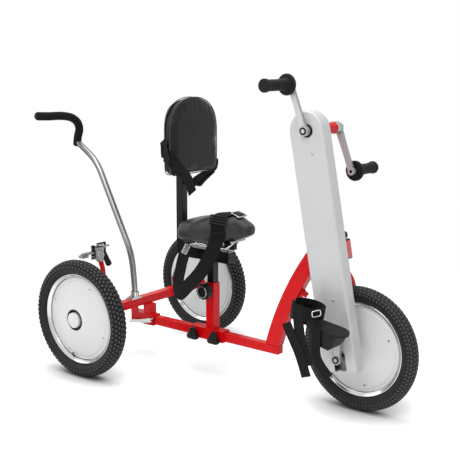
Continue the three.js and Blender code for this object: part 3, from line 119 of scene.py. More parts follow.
def makeNode(tree, kind, values=None, **settings):
    """A new node; values feeds its inputs by name or number, and settings are its own attributes."""
    node = tree.nodes.new(kind)
    for name, setting in settings.items():
        setattr(node, name, setting)
    for slot, value in (values or {}).items():
        feed(tree, node.inputs[slot], value)
    return node


def mathNode(tree, operation, *values):
    """One math node; its values are sockets or plain numbers."""
    return makeNode(tree, "ShaderNodeMath", dict(enumerate(values)), operation=operation).outputs[0]


def mixColours(tree, mask, first, second):
    """The first colour where the mask is 0, the second where it is 1."""
    values = {"Factor": mask, 6: first, 7: second}
    return makeNode(tree, "ShaderNodeMix", values, data_type="RGBA").outputs[2]


def rampMask(tree, value, low, high, **settings):
    """0 below low, 1 above high, straight between unless the settings say otherwise."""
    values = {"Value": value, "From Min": low, "From Max": high}
    return makeNode(tree, "ShaderNodeMapRange", values, **settings).outputs["Result"]


def colourRamp(tree, value, stops, interpolation):
    """A colour for each value from 0 to 1; stops are pairs of value and colour."""
    node = makeNode(tree, "ShaderNodeValToRGB", {"Fac": value})
    ramp = node.color_ramp
    ramp.interpolation = interpolation
    while len(ramp.elements) < len(stops):
        ramp.elements.new(0.5)
    for element, (place, colour) in zip(ramp.elements, stops):
        element.position = place
    for element, (place, colour) in zip(ramp.elements, stops):
        element.color = (*colour, 1)
    return node.outputs["Color"]


def objectPlace(tree):
    """The Object coordinate, which is the place in the frame in metres."""
    return makeNode(tree, "ShaderNodeTexCoord").outputs["Object"]


def bareMaterial(name, colour, roughness, metallic=0.0, coat=0.0, coatRoughness=0.05, specular=0.5):
    """A Principled material; its constants are set on the shader's own sockets."""
    material = bpy.data.materials.new(name)
    material.use_nodes = True
    tree = material.node_tree
    shader = tree.nodes["Principled BSDF"]
    constants = {"Base Color": colour, "Roughness": roughness, "Metallic": metallic, "Coat Weight": coat,
                 "Coat Roughness": coatRoughness, "Specular IOR Level": specular}
    for label, value in constants.items():
        feed(tree, shader.inputs[label], value)
    return material, tree, shader.inputs


# Floor and light, at a plain level

white = (1.0, 1.0, 1.0)
lamps = {
    # place and target in metres in the frame, then size in metres and power in watts
    "key": ((1.2, -2.6, 3.2), (0, 0, 0.4), 2.2, 60),
    "top": ((-0.3, 0.1, 3.4), (0, 0, 0.3), 2.2, 46),
    "edge": ((-2.8, -1.6, 1.8), (0, 0, 0.4), 1.6, 16),
}
studio = {"strength": 0.5, "low": (0.7, 0.7, 0.71), "highFrom": 0.9}
# The floor's darker grey is a painted contact shadow, used close under the object.
paper = {"half": 40.0, "colour": (0.98, 0.98, 0.98), "paintedShadow": (0.3, 0.3, 0.3), "shadeReach": 0.16,
         "glow": 0.42, "fadeFrom": 0.95, "fadeTo": 2.1}


def showsBackground(tree):
    """1 for rays from the camera and for those that leave metal or glass, 0 for the light on the object."""
    rays = makeNode(tree, "ShaderNodeLightPath").outputs
    seen = mathNode(tree, "MAXIMUM", rays["Is Camera Ray"], rays["Is Glossy Ray"])
    return mathNode(tree, "MAXIMUM", seen, rays["Is Transmission Ray"])


def makeFloor():
    """A wide pale floor at z = 0 with a painted contact shadow close under the object, from ambient
    occlusion, on top of its real shadow; it turns into plain white far from it.
    """
    half = paper["half"]
    corners = [(-half, -half, 0), (half, -half, 0), (half, half, 0), (-half, half, 0)]
    mesh = bpy.data.meshes.new("floor")
    mesh.from_pydata(corners, [], [(0, 1, 2, 3)])
    floor = bpy.data.objects.new("floor", mesh)
    bpy.context.scene.collection.objects.link(floor)
    material, tree, inputs = bareMaterial("floor_paper", paper["colour"], 0.9, specular=0.0)
    mesh.materials.append(material)
    # Painted shadow: ambient occlusion darkens the floor's colour and dims its glow close under the object.
    near = makeNode(tree, "ShaderNodeAmbientOcclusion", {"Distance": paper["shadeReach"]}, samples=12)
    openness = rampMask(tree, near.outputs["AO"], 0.35, 0.95)
    glow = mathNode(tree, "MULTIPLY", showsBackground(tree), openness)
    feed(tree, inputs["Base Color"], mixColours(tree, openness, paper["paintedShadow"], paper["colour"]))
    feed(tree, inputs["Emission Color"], white)
    feed(tree, inputs["Emission Strength"], mathNode(tree, "MULTIPLY", glow, paper["glow"]))
    reach = makeNode(tree, "ShaderNodeVectorMath", {0: objectPlace(tree)}, operation="LENGTH")
    far = rampMask(tree, reach.outputs["Value"], paper["fadeFrom"], paper["fadeTo"],
                   interpolation_type="SMOOTHSTEP")
    plain = makeNode(tree, "ShaderNodeEmission", {"Color": white, "Strength": 1.0})
    mix = makeNode(tree, "ShaderNodeMixShader", {0: mathNode(tree, "MULTIPLY", far, showsBackground(tree)),
                                                 1: tree.nodes["Principled BSDF"].outputs[0],
                                                 2: plain.outputs[0]})
    feed(tree, tree.nodes["Material Output"].inputs["Surface"], mix.outputs[0])


def makeWorld():
    """White where it is seen itself; the light that it gives is brighter from above than from the sides."""
    world = bpy.data.worlds.new("studio")
    world.use_nodes = True
    bpy.context.scene.world = world
    tree = world.node_tree
    light = tree.nodes["Background"]
    direction = makeNode(tree, "ShaderNodeTexCoord").outputs["Generated"]
    rise = makeNode(tree, "ShaderNodeSeparateXYZ", {"Vector": direction}).outputs["Z"]
    stops = [(0.0, studio["low"]), (studio["highFrom"], white)]
    feed(tree, light.inputs["Color"], colourRamp(tree, rise, stops, "LINEAR"))
    feed(tree, light.inputs["Strength"], studio["strength"])
    seen = makeNode(tree, "ShaderNodeBackground", {"Color": white, "Strength": 1.0})
    values = {0: showsBackground(tree), 1: light.outputs[0], 2: seen.outputs[0]}
    mix = makeNode(tree, "ShaderNodeMixShader", values)
    feed(tree, tree.nodes["World Output"].inputs["Surface"], mix.outputs[0])


def makeLamp(name, place, target, size, power):
    """A square soft lamp at place that looks at target."""
    data = bpy.data.lights.new(name, "AREA")
    data.size = size
    data.energy = power
    lamp = bpy.data.objects.new(name, data)
    lamp.location = place
    lamp.rotation_euler = (Vector(target) - Vector(place)).to_track_quat("-Z", "Y").to_euler()
    bpy.context.scene.collection.objects.link(lamp)


makeFloor()
makeWorld()
for name, lamp in lamps.items():
    makeLamp(name, *lamp)
bpy.context.scene.view_settings.view_transform = "Standard"
print("stage done")


# Shader groups, each one effect with named sockets

def newGroup(name, inputs, outputs):
    """An empty shader group; each of its sockets is a number, but for the one called Vector."""
    group = bpy.data.node_groups.new(name, "ShaderNodeTree")
    for way, labels in (("INPUT", inputs), ("OUTPUT", outputs)):
        for label in labels:
            kind = "NodeSocketVector" if label == "Vector" else "NodeSocketFloat"
            group.interface.new_socket(name=label, in_out=way, socket_type=kind)
    return group, makeNode(group, "NodeGroupInput").outputs, makeNode(group, "NodeGroupOutput").inputs


def noise(tree, place, scale, detail):
    """Noise of a place; scale is a socket or a number, per metre."""
    values = {"Vector": place, "Scale": scale, "Detail": detail}
    return makeNode(tree, "ShaderNodeTexNoise", values).outputs["Fac"]


def makeGrainGroup():
    """Fine grain: noise at the given scale as a height, and broad noise as a soft mask."""
    group, entry, leave = newGroup("fineGrain", ["Vector", "Scale"], ["Height", "Mask"])
    feed(group, leave["Height"], noise(group, entry["Vector"], entry["Scale"], 3.0))
    feed(group, leave["Mask"], noise(group, entry["Vector"], 9.0, 2.0))
    return group


def makeVinylGroup():
    """Leather grain: cells drawn in at their edges, with a little noise on top."""
    group, entry, leave = newGroup("vinylGrain", ["Vector", "Scale"], ["Height"])
    values = {"Vector": entry["Vector"], "Scale": entry["Scale"]}
    cells = makeNode(group, "ShaderNodeTexVoronoi", values, feature="DISTANCE_TO_EDGE")
    edge = mathNode(group, "MINIMUM", cells.outputs["Distance"], 0.12)
    soft = mathNode(group, "MULTIPLY", noise(group, entry["Vector"], 60.0, 3.0), 0.5)
    feed(group, leave["Height"], mathNode(group, "ADD", mathNode(group, "MULTIPLY", edge, 5.0), soft))
    return group


def makeWeaveGroup():
    """Woven band: crossed waves along and across the strap, in steps of the given length; its Shade output is
    painted shade, darker where the weave is low.
    """
    group, entry, leave = newGroup("webbingWeave", ["Along", "Across", "Step"], ["Height", "Shade"])
    turn = mathNode(group, "DIVIDE", 2 * math.pi, entry["Step"])
    along = mathNode(group, "MULTIPLY", entry["Along"], turn)
    across = mathNode(group, "MULTIPLY", entry["Across"], turn)
    twill = mathNode(group, "SINE", mathNode(group, "ADD", along, across))
    cross = mathNode(group, "SINE", mathNode(group, "MULTIPLY", across, 2.0))
    height = mathNode(group, "ADD", twill, mathNode(group, "MULTIPLY", cross, 0.5))
    feed(group, leave["Height"], height)
    feed(group, leave["Shade"], mathNode(group, "ADD", mathNode(group, "MULTIPLY", height, 0.25), 0.5))
    return group


def makeDustGroup():
    """A mask of dust: strongest near the floor, broken up by noise."""
    group, entry, leave = newGroup("floorDust", ["Vector", "Reach"], ["Mask"])
    rise = makeNode(group, "ShaderNodeSeparateXYZ", {"Vector": entry["Vector"]}).outputs["Z"]
    share = mathNode(group, "MINIMUM", mathNode(group, "DIVIDE", rise, entry["Reach"]), 1.0)
    broken = noise(group, entry["Vector"], 40.0, 4.0)
    feed(group, leave["Mask"], mathNode(group, "MULTIPLY", mathNode(group, "SUBTRACT", 1.0, share), broken))
    return group


grainGroup = makeGrainGroup()
vinylGroup = makeVinylGroup()
weaveGroup = makeWeaveGroup()
dustGroup = makeDustGroup()


# Materials

def useGroup(tree, group, **values):
    """The outputs of one use of a shader group."""
    return makeNode(tree, "ShaderNodeGroup", values, node_tree=group).outputs


def addBump(tree, inputs, height, depth):
    """Turns a height into a bump of the given depth in metres."""
    bump = makeNode(tree, "ShaderNodeBump", {"Strength": 1.0, "Distance": depth, "Height": height})
    feed(tree, inputs["Normal"], bump.outputs["Normal"])


def grainMaterial(name, colour, roughness, other=None, scale=900.0, depth=0.00004, **more):
    """A material with fine grain as bump and, where other is given, a slow change to that near colour."""
    material, tree, inputs = bareMaterial(name, colour, roughness, **more)
    grain = useGroup(tree, grainGroup, Vector=objectPlace(tree), Scale=scale)
    addBump(tree, inputs, grain["Height"], depth)
    if other is not None:
        mask = rampMask(tree, grain["Mask"], 0.35, 0.65)
        feed(tree, inputs["Base Color"], mixColours(tree, mask, colour, other))
    return material


def metalMaterial(name, stops, roughness, depth=0.00001, metallic=1.0):
    """Polished metal with painted reflections; its stops are pairs of facing share and grey, painted dark
    bands where a bright room ends.
    """
    material, tree, inputs = bareMaterial(name, (0.8, 0.8, 0.8), roughness, metallic=metallic)
    facing = makeNode(tree, "ShaderNodeLayerWeight", {"Blend": 0.5}).outputs["Facing"]
    # Painted reflection: the grey follows how squarely the surface faces the view.
    colours = [(share, (grey, grey, grey * 1.01)) for share, grey in stops]
    feed(tree, inputs["Base Color"], colourRamp(tree, facing, colours, "B_SPLINE"))
    grain = useGroup(tree, grainGroup, Vector=objectPlace(tree), Scale=400.0)
    addBump(tree, inputs, grain["Height"], depth)
    return material


def tyreMaterial():
    """Dark rubber, matt: painted shade makes it nearly black in the grooves and paler on the blocks; a trace
    of dust low down.
    """
    material, tree, inputs = bareMaterial("tyre_rubber", (0.02, 0.02, 0.021), 0.55, specular=0.13)
    place = objectPlace(tree)
    dust = useGroup(tree, dustGroup, Vector=place, Reach=0.35)
    dusty = mathNode(tree, "MULTIPLY", rampMask(tree, dust["Mask"], 0.25, 0.9), 0.35)
    tread = makeNode(tree, "ShaderNodeAttribute", attribute_name="tread").outputs["Fac"]
    # Painted shade: the tread attribute makes the grooves nearly black and the block tops paler.
    blocks = mixColours(tree, tread, (0.0015, 0.0015, 0.0016), (0.07, 0.07, 0.071))
    feed(tree, inputs["Base Color"], mixColours(tree, dusty, blocks, (0.075, 0.072, 0.068)))
    grain = useGroup(tree, grainGroup, Vector=place, Scale=700.0)
    addBump(tree, inputs, grain["Height"], 0.00012)
    return material


def vinylMaterial(name, level, specular):
    """Black grained cover, slightly glossy; level is its grey."""
    low = (level, level, level * 1.03)
    high = tuple(value * 1.8 for value in low)
    material, tree, inputs = bareMaterial(name, low, 0.38, coat=0.03, coatRoughness=0.3, specular=specular)
    place = objectPlace(tree)
    skin = useGroup(tree, vinylGroup, Vector=place, Scale=420.0)
    grain = useGroup(tree, grainGroup, Vector=place, Scale=30.0)
    mask = rampMask(tree, grain["Height"], 0.3, 0.7)
    feed(tree, inputs["Base Color"], mixColours(tree, mask, low, high))
    addBump(tree, inputs, skin["Height"], 0.00016)
    return material


def webbingMaterial():
    """Black webbing; its own UV gives the place along and across the band in metres."""
    material, tree, inputs = bareMaterial("webbing", (0.01, 0.01, 0.0105), 0.82, specular=0.1)
    lie = makeNode(tree, "ShaderNodeUVMap", uv_map="weave").outputs["UV"]
    split = makeNode(tree, "ShaderNodeSeparateXYZ", {"Vector": lie}).outputs
    weave = useGroup(tree, weaveGroup, Along=split["X"], Across=split["Y"], Step=0.0022)
    # Painted shade: the weave's low parts get the darker colour.
    colour = mixColours(tree, weave["Shade"], (0.004, 0.004, 0.0042), (0.017, 0.017, 0.0175))
    feed(tree, inputs["Base Color"], colour)
    addBump(tree, inputs, weave["Height"], 0.0002)
    feed(tree, inputs["Sheen Weight"], 0.04)
    return material


def greyBounce(material):
    """Light that this paint throws on to its neighbours counts as grey, so that white parts stay neutral."""
    tree = material.node_tree
    colour = tree.nodes["Principled BSDF"].inputs["Base Color"]
    thrown = makeNode(tree, "ShaderNodeLightPath").outputs["Is Diffuse Ray"]
    feed(tree, colour, mixColours(tree, thrown, colour.links[0].from_socket, (0.24, 0.2, 0.2)))


# Painted reflections: each pair is a facing share and the grey painted into the metal's colour there.
chromeReflectionStops = [(0.0, 0.5), (0.2, 0.74), (0.4, 0.2), (0.62, 0.5), (0.84, 0.1), (1.0, 0.3)]
barReflectionStops = [(0.0, 0.2), (0.1, 0.5), (0.3, 0.1), (0.6, 0.13), (0.8, 0.04), (1.0, 0.08)]
castReflectionStops = [(0.0, 0.26), (0.25, 0.5), (0.5, 0.1), (1.0, 0.05)]
crankReflectionStops = [(0.0, 0.5), (0.25, 0.74), (0.45, 0.24), (0.7, 0.5), (0.9, 0.12), (1.0, 0.3)]
alloyReflectionStops = [(0.0, 0.5), (0.25, 0.82), (0.5, 0.28), (0.7, 0.6), (0.9, 0.15), (1.0, 0.35)]

# each material with the name of its slot beside it
materials = {
    "redPaint": ("red_paint", grainMaterial(
        "red_paint", (0.72, 0.0, 0.004), 0.34, other=(0.68, 0.0, 0.003), scale=260.0, depth=0.00002,
        coat=0.16, coatRoughness=0.1, specular=0.12)),
    "silverPaint": ("silver_paint", grainMaterial(
        "silver_paint", (0.64, 0.643, 0.648), 0.42, other=(0.615, 0.618, 0.623), scale=1500.0, depth=0.00003,
        metallic=0.1, coat=0.15, coatRoughness=0.2)),
    "whitePlastic": ("white_disc", grainMaterial(
        "white_disc", (0.8, 0.805, 0.81), 0.4, scale=600.0, depth=0.00002, coat=0.08, specular=0.25)),
    "chrome": ("chrome", metalMaterial("chrome", chromeReflectionStops, 0.1)),
    "barChrome": ("chrome", metalMaterial("bar_chrome", barReflectionStops, 0.24, depth=0.000002)),
    "cast": ("steel", metalMaterial("cast_steel", castReflectionStops, 0.3, depth=0.00004)),
    "crankAlloy": ("alloy", metalMaterial("crank_alloy", crankReflectionStops, 0.42, metallic=0.45)),
    "steel": ("steel", grainMaterial(
        "steel", (0.52, 0.53, 0.54), 0.3, other=(0.42, 0.43, 0.44), metallic=1.0)),
    "darkSteel": ("steel", grainMaterial(
        "dark_steel", (0.09, 0.09, 0.095), 0.4, other=(0.15, 0.14, 0.13), metallic=0.8)),
    "alloy": ("alloy", metalMaterial("alloy", alloyReflectionStops, 0.22)),
    "blackPaint": ("black_paint", grainMaterial(
        "black_paint", (0.005, 0.005, 0.0053), 0.3, scale=300.0, depth=0.00003, coat=0.08, specular=0.2)),
    "blackPlastic": ("black_plastic", grainMaterial(
        "black_plastic", (0.007, 0.007, 0.0073), 0.45, scale=1200.0, depth=0.00007, specular=0.18)),
    "gripRubber": ("grip_rubber", grainMaterial(
        "grip_rubber", (0.008, 0.008, 0.0083), 0.5, scale=1400.0, depth=0.0001, specular=0.18)),
    "foam": ("grip_rubber", grainMaterial(
        "grip_foam", (0.007, 0.007, 0.0073), 0.8, scale=1800.0, depth=0.0003, specular=0.15)),
    "redLens": ("red_lens", grainMaterial(
        "red_lens", (0.7, 0.006, 0.02), 0.14, scale=350.0, depth=0.0001, coat=0.6)),
    "darkRed": ("red_lens", grainMaterial(
        "dark_red_lens", (0.22, 0.004, 0.012), 0.2, scale=350.0, depth=0.0001, coat=0.5)),
    "paleCentre": ("steel", grainMaterial("pale_cap", (0.62, 0.62, 0.63), 0.35, scale=500.0)),
    "tyreRubber": ("tyre_rubber", tyreMaterial()),
    "vinyl": ("vinyl", vinylMaterial("vinyl", 0.006, 0.2)),
    # Painted light: the saddle's vinyl is a lighter copy of the pad's, because its top faces the lamps.
    "saddleVinylLit": ("vinyl", vinylMaterial("saddle_vinyl_lit", 0.0125, 0.34)),
    # Painted highlight: the welts' vinyl is lighter, standing for the catch-light along the seam cords.
    "weltVinylHighlight": ("vinyl", vinylMaterial("welt_vinyl_highlight", 0.03, 0.4)),
    "webbing": ("webbing", webbingMaterial()),
}
greyBounce(materials["redPaint"][1])
print("materials done")


# Points and shells

def unit(vectors):
    """The same vectors with a length of 1."""
    vectors = np.asarray(vectors, float)
    return vectors / np.maximum(np.linalg.norm(vectors, axis=-1, keepdims=True), 1e-9)


def lengthsOf(line):
    """How far along the line each of its points lies."""
    return np.concatenate([[0], np.cumsum(np.linalg.norm(np.diff(line, axis=0), axis=1))])


def turnY(points, angle):
    """Turns points about the y axis so that +x goes towards +z: x cos a - z sin a, x sin a + z cos a."""
    p = np.asarray(points, float)
    out = p.copy()
    out[..., 0] = p[..., 0] * math.cos(angle) - p[..., 2] * math.sin(angle)
    out[..., 2] = p[..., 0] * math.sin(angle) + p[..., 2] * math.cos(angle)
    return out


def leaning(points):
    """Puts points drawn about the front axle, upright, onto the leaning steering line."""
    return turnY(points, steerLean) + np.array([wheelbase, 0.0, frontRadius])


def smoothStep(value, low, high):
    """0 below low, 1 above high, and 3 t squared - 2 t cubed between, where t is the share of the way."""
    t = np.clip((np.asarray(value, float) - low) / (high - low), 0, 1)
    return t * t * (3 - 2 * t)


def gridFaces(rows, columns, wrapRows):
    """Quads of a grid of points, its last column joined to the first, and its last row too where asked."""
    r, c = np.meshgrid(np.arange(rows if wrapRows else rows - 1), np.arange(columns), indexing="ij")
    nextRow = (r + 1) % rows
    nextColumn = (c + 1) % columns
    quads = [r * columns + c, r * columns + nextColumn, nextRow * columns + nextColumn, nextRow * columns + c]
    return np.stack(quads, axis=-1).reshape(-1, 4)


def volumeOf(points, faces):
    """Six times the signed volume: the sum over triangles of a . (b x c)."""
    total = 0.0
    for face in faces:
        corners = points[face]
        for k in range(1, corners.shape[1] - 1):
            total += float(np.einsum("ij,ij->", corners[:, 0], np.cross(corners[:, k], corners[:, k + 1])))
    return total


def shell(grid, wrapRows=False):
    """A closed shell from a grid whose columns close on themselves; its end rows are closed or joined."""
    grid = np.asarray(grid, float)
    rows, columns = grid.shape[:2]
    points = grid.reshape(-1, 3)
    quads = gridFaces(rows, columns, wrapRows)
    triangles = np.zeros((0, 3), int)
    if not wrapRows:
        first = len(points)
        points = np.vstack([points, grid[0].mean(0), grid[-1].mean(0)])
        c = np.arange(columns)
        nextColumn = (c + 1) % columns
        last = (rows - 1) * columns
        start = np.stack([np.full(columns, first), nextColumn, c], axis=-1)
        end = np.stack([np.full(columns, first + 1), last + c, last + nextColumn], axis=-1)
        triangles = np.vstack([start, end])
    if volumeOf(points, [quads, triangles]) < 0:
        return points, quads[:, ::-1], triangles[:, ::-1]
    return points, quads, triangles


def moved(part, change):
    """The same shell with its points changed by a function; a mirror turns its faces about."""
    points, quads, triangles = part
    after = change(points)
    if volumeOf(points, [quads]) * volumeOf(after, [quads]) < 0:
        return after, quads[:, ::-1], triangles[:, ::-1]
    return after, quads, triangles


def placed(part, place, facing=1):
    """A shell moved to its place; facing is -1 to mirror what is drawn with its outer side at +y."""
    return moved(part, lambda p: p * np.array([1, facing, 1]) + np.asarray(place))


def along(origin, first, second, third):
    """A change for moved that lays x, y and z along three directions from an origin."""
    return lambda p: origin + p[:, :1] * first + p[:, 1:2] * second + p[:, 2:] * third


def rounded(points, radius, steps=5, closed=False):
    """A line whose corners are rounded: each corner becomes a quadratic arc that starts radius before it."""
    points = [np.asarray(p, float) for p in points]
    count = len(points)
    out = []
    for i, corner in enumerate(points):
        if not closed and i in (0, count - 1):
            out.append(corner)
            continue
        toBefore = points[i - 1] - corner
        toAfter = points[(i + 1) % count] - corner
        reach = min(radius, np.linalg.norm(toBefore) * 0.45, np.linalg.norm(toAfter) * 0.45)
        start = corner + unit(toBefore) * reach
        end = corner + unit(toAfter) * reach
        for t in np.linspace(0, 1, steps):
            out.append((1 - t) ** 2 * start + 2 * t * (1 - t) * corner + t * t * end)
    return np.array(out)


def evenSteps(line, count):
    """The line at even steps of its length."""
    line = np.asarray(line, float)
    lengths = lengthsOf(line)
    wanted = np.linspace(0, lengths[-1], count)
    return np.stack([np.interp(wanted, lengths, line[:, k]) for k in range(line.shape[1])], axis=-1)


def throughPoints(points, count):
    """A smooth curve through the points, as Catmull and Rom draw it, at even steps of its length."""
    p = np.asarray(points, float)
    ends = np.vstack([2 * p[0] - p[1], p, 2 * p[-1] - p[-2]])
    dense = []
    for i in range(1, len(ends) - 2):
        a, b, c, d = ends[i - 1:i + 3]
        for t in np.linspace(0, 1, 24, endpoint=False):
            dense.append(0.5 * (2 * b + (c - a) * t + (2 * a - 5 * b + 4 * c - d) * t * t
                                + (3 * b - a - 3 * c + d) * t ** 3))
    dense.append(p[-1])
    return evenSteps(np.array(dense), count)


def carried(path, section, first, second):
    """A grid of a section at each point of a path; its two sizes lie along the directions given there."""
    section = np.asarray(section, float)
    return path[:, None] + section[None, :, :1] * first[:, None] + section[None, :, 1:] * second[:, None]


def sweep(path, section, scales=None):
    """A section carried along a path without twist; scales shrink or widen it at each point."""
    path = np.asarray(path, float)
    directions = unit(np.gradient(path, axis=0))
    side = np.array([0.0, 1.0, 0.0]) if abs(directions[0][1]) < 0.9 else np.array([1.0, 0.0, 0.0])
    sides = []
    for direction in directions:
        side = unit(side - direction * side.dot(direction))
        sides.append(side)
    scales = np.ones(len(path)) if scales is None else np.asarray(scales, float)
    ups = np.cross(directions, sides)
    return carried(path, section, np.array(sides) * scales[:, None], ups * scales[:, None])


def circle(radius, sides):
    """Points round a circle."""
    angle = np.arange(sides) / sides * 2 * math.pi
    return np.stack([radius * np.cos(angle), radius * np.sin(angle)], axis=-1)


def lathe(profile, segments):
    """A grid turned about the y axis; profile is pairs of radius and y, not reaching the axis."""
    profile = np.asarray(profile, float)
    angle = np.arange(segments) / segments * 2 * math.pi
    grid = np.empty((len(profile), segments, 3))
    grid[..., 0] = profile[:, 0, None] * np.cos(angle)
    grid[..., 1] = profile[:, 1, None]
    grid[..., 2] = profile[:, 0, None] * np.sin(angle)
    return grid


def turned(profile, radius, steps, segments, ring=False):
    """A turned shell whose corners are rounded; a ring's profile closes on itself."""
    return shell(lathe(rounded(profile, radius, steps, closed=ring), segments), wrapRows=ring)


def faceRing(outer, inner, y0, y1):
    """A flat ring about the y axis with soft edges."""
    corners = [(inner, y0), (outer, y0), (outer, y1), (inner, y1)]
    return turned(corners, min(1.0, abs(y1 - y0) * 0.4), 4, 48, ring=True)


def box(x0, x1, y0, y1, z0, z1, edge):
    """A block with rounded edges: a rounded outline in x and y, drawn in a little at its top and bottom."""
    outline = rounded([(x0, y0), (x1, y0), (x1, y1), (x0, y1)], edge, 4, closed=True)
    middle = np.array([(x0 + x1) / 2, (y0 + y1) / 2])
    half = np.array([(x1 - x0) / 2, (y1 - y0) / 2])
    rows = []
    for turn in np.linspace(0, math.pi / 2, 4):
        rows.append((edge * (1 - math.sin(turn)), z0 + edge * (1 - math.cos(turn))))
    rows += [(inset, z0 + z1 - z) for inset, z in rows[::-1]]
    grid = []
    for inset, z in rows:
        flat = middle + (outline - middle) * (1 - inset / half)
        grid.append(np.column_stack([flat, np.full(len(flat), z)]))
    return shell(grid)


# Finished pieces

def piece(name, parts, material, body, replaced=(), sharp=38.0):
    """One object from one or more shells, in the frame's metres, riding on its body."""
    parts = parts if isinstance(parts, list) else [parts]
    loops = []
    sizes = []
    offset = 0
    for points, quads, triangles in parts:
        for faces in (quads, triangles):
            loops.append((faces + offset).reshape(-1))
            sizes.append(np.full(len(faces), faces.shape[1]))
        offset += len(points)
    points = (np.vstack([part[0] for part in parts]) + layoutShift) / 1000
    loops = np.concatenate(loops).astype(np.int32)
    sizes = np.concatenate(sizes).astype(np.int32)
    mesh = bpy.data.meshes.new(name)
    mesh.vertices.add(len(points))
    mesh.vertices.foreach_set("co", points.astype(np.float32).reshape(-1))
    mesh.loops.add(len(loops))
    mesh.loops.foreach_set("vertex_index", loops)
    mesh.polygons.add(len(sizes))
    mesh.polygons.foreach_set("loop_start", np.cumsum(sizes, dtype=np.int32) - sizes)
    mesh.polygons.foreach_set("loop_total", sizes)
    mesh.polygons.foreach_set("use_smooth", np.ones(len(sizes), bool))
    mesh.update()
    mesh.validate()
    mesh.set_sharp_from_angle(angle=math.radians(sharp))
    mesh.materials.append(materials[material][1])
    obj = bpy.data.objects.new(name, mesh)
    bpy.context.scene.collection.objects.link(obj)
    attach(obj, body)
    if replaced:
        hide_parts(*replaced)
    return obj


# CAD nodes that stay: merged, rounded at their edges and shaded smooth

sharpAbove = math.radians(34)


def smoothGroup():
    """A geometry group that joins split points, drops imported normals and shades smooth below an angle."""
    group = bpy.data.node_groups.new("smoothByAngle", "GeometryNodeTree")
    for way in ("INPUT", "OUTPUT"):
        group.interface.new_socket(name="Geometry", in_out=way, socket_type="NodeSocketGeometry")
    angle = makeNode(group, "GeometryNodeInputMeshEdgeAngle").outputs["Unsigned Angle"]
    sharpEdge = mathNode(group, "GREATER_THAN", angle, sharpAbove)
    shape = makeNode(group, "NodeGroupInput").outputs[0]
    for kind, values, settings in (("MergeByDistance", {"Distance": 0.00001}, {}),
                                   ("RemoveAttribute", {"Name": "custom_normal"}, {}),
                                   ("SetShadeSmooth", {"Shade Smooth": True}, {"domain": "FACE"}),
                                   ("SetShadeSmooth", {"Shade Smooth": False, "Selection": sharpEdge},
                                    {"domain": "EDGE"})):
        shape = makeNode(group, "GeometryNode" + kind, {"Geometry": shape, **values}, **settings).outputs[0]
    feed(group, makeNode(group, "NodeGroupOutput").inputs[0], shape)
    return group


smoothing = smoothGroup()
bevelAbove = math.radians(40)


def dress(node, material, edge):
    """Gives a CAD node its material, and edges rounded by that many millimetres."""
    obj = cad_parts[node]
    obj.data.materials.clear()
    obj.data.materials.append(materials[material][1])
    obj.modifiers.new("join", "NODES").node_group = smoothing
    bevel = obj.modifiers.new("edges", "BEVEL")
    bevel.width = edge / 1000
    bevel.segments = 2
    bevel.limit_method = "ANGLE"
    bevel.angle_limit = bevelAbove
    obj.modifiers.new("shade", "NODES").node_group = smoothing


keptNodes = {
    "redPaint": {"main_tube": 2.2, "head_tube": 0.6, "rear_crossbar": 1.6, "rear_receiver": 1.6,
                 "seat_sleeve": 1.6, "steering_fork": 1.4, "steering_mast": 0.8, "down_tube": 4.5},
    "silverPaint": {"chain_guard": 1.3, "guard_back": 0.5},
    "chrome": {"push_bar_clamp": 0.8, "receiver_lever": 0.9, "saddle_rails": 0.5},
    "crankAlloy": {"hand_crank_right": 1.2, "hand_crank_left": 1.2, "foot_crank_right": 1.2,
                   "foot_crank_left": 1.2},
    "steel": {"hand_crank_axle": 0.7, "front_axle": 0.7},
    "cast": {"brake_body": 0.7, "brake_shoe": 0.6},
    "darkSteel": {"upper_sprocket": 0.3, "lower_sprocket": 0.3, "drive_chain": 0.2},
    "blackPaint": {"seat_post": 1.6, "saddle_bracket": 1.6, "back_post": 1.6, "back_board": 1.2},
    "blackPlastic": {"steering_knob": 0.8, "sleeve_knob_rear": 0.8, "sleeve_knob_front": 0.8,
                     "seat_post_knob": 0.9, "foot_pedal_right": 1.4, "foot_pedal_left": 1.4},
    "gripRubber": {"brake_handle": 0.8},
}
for material, nodes in keptNodes.items():
    for node, edge in nodes.items():
        dress(node, material, edge)
print("kept nodes dressed")


# Tyres: a smooth casing with rows of raised blocks

rearTread = {
    "blocks": 76, "height": 3.0, "reach": 0.62,
    # each row: from, to, offset, slant, duty
    "rows": [(0.02, 0.17, 0.0, 0.4, 0.62), (0.25, 0.42, 0.5, -0.4, 0.62), (0.5, 0.68, 0.0, 0.3, 0.6),
             (0.77, 0.97, 0.5, 0.1, 0.58)],
    "ribs": [1.12, 1.2],
}
frontTread = {
    "blocks": 92, "height": 1.4, "reach": 0.6,
    "rows": [(0.0, 0.2, 0.0, 1.2, 0.74), (0.26, 0.46, 0.5, -1.2, 0.74), (0.52, 0.72, 0.0, 1.2, 0.74),
             (0.78, 0.98, 0.5, 0.9, 0.66)],
    "ribs": [1.1, 1.22],
}


def casing(radius, halfWidth, bead, count):
    """A tyre's section in pairs of radius and side, from one bead over the crown to the other."""
    stations = [(0, 0.52), (0.06, 0.66), (0.2, 0.9), (0.4, 1.0), (0.6, 0.985), (0.78, 0.86), (0.91, 0.6),
                (0.98, 0.28), (1.0, 0.0)]
    left = [(bead + share * (radius - bead), -side * halfWidth) for share, side in stations]
    return throughPoints(left + [(r, -side) for r, side in left[-2::-1]], count)


def blockEdges(phase, duty, soft):
    """1 on a block, 0 in the groove: a plateau of the given duty, with soft flanks."""
    away = np.abs((phase + 0.5) % 1 - 0.5)
    return 1 - smoothStep(away, duty / 2 - soft, duty / 2 + soft)


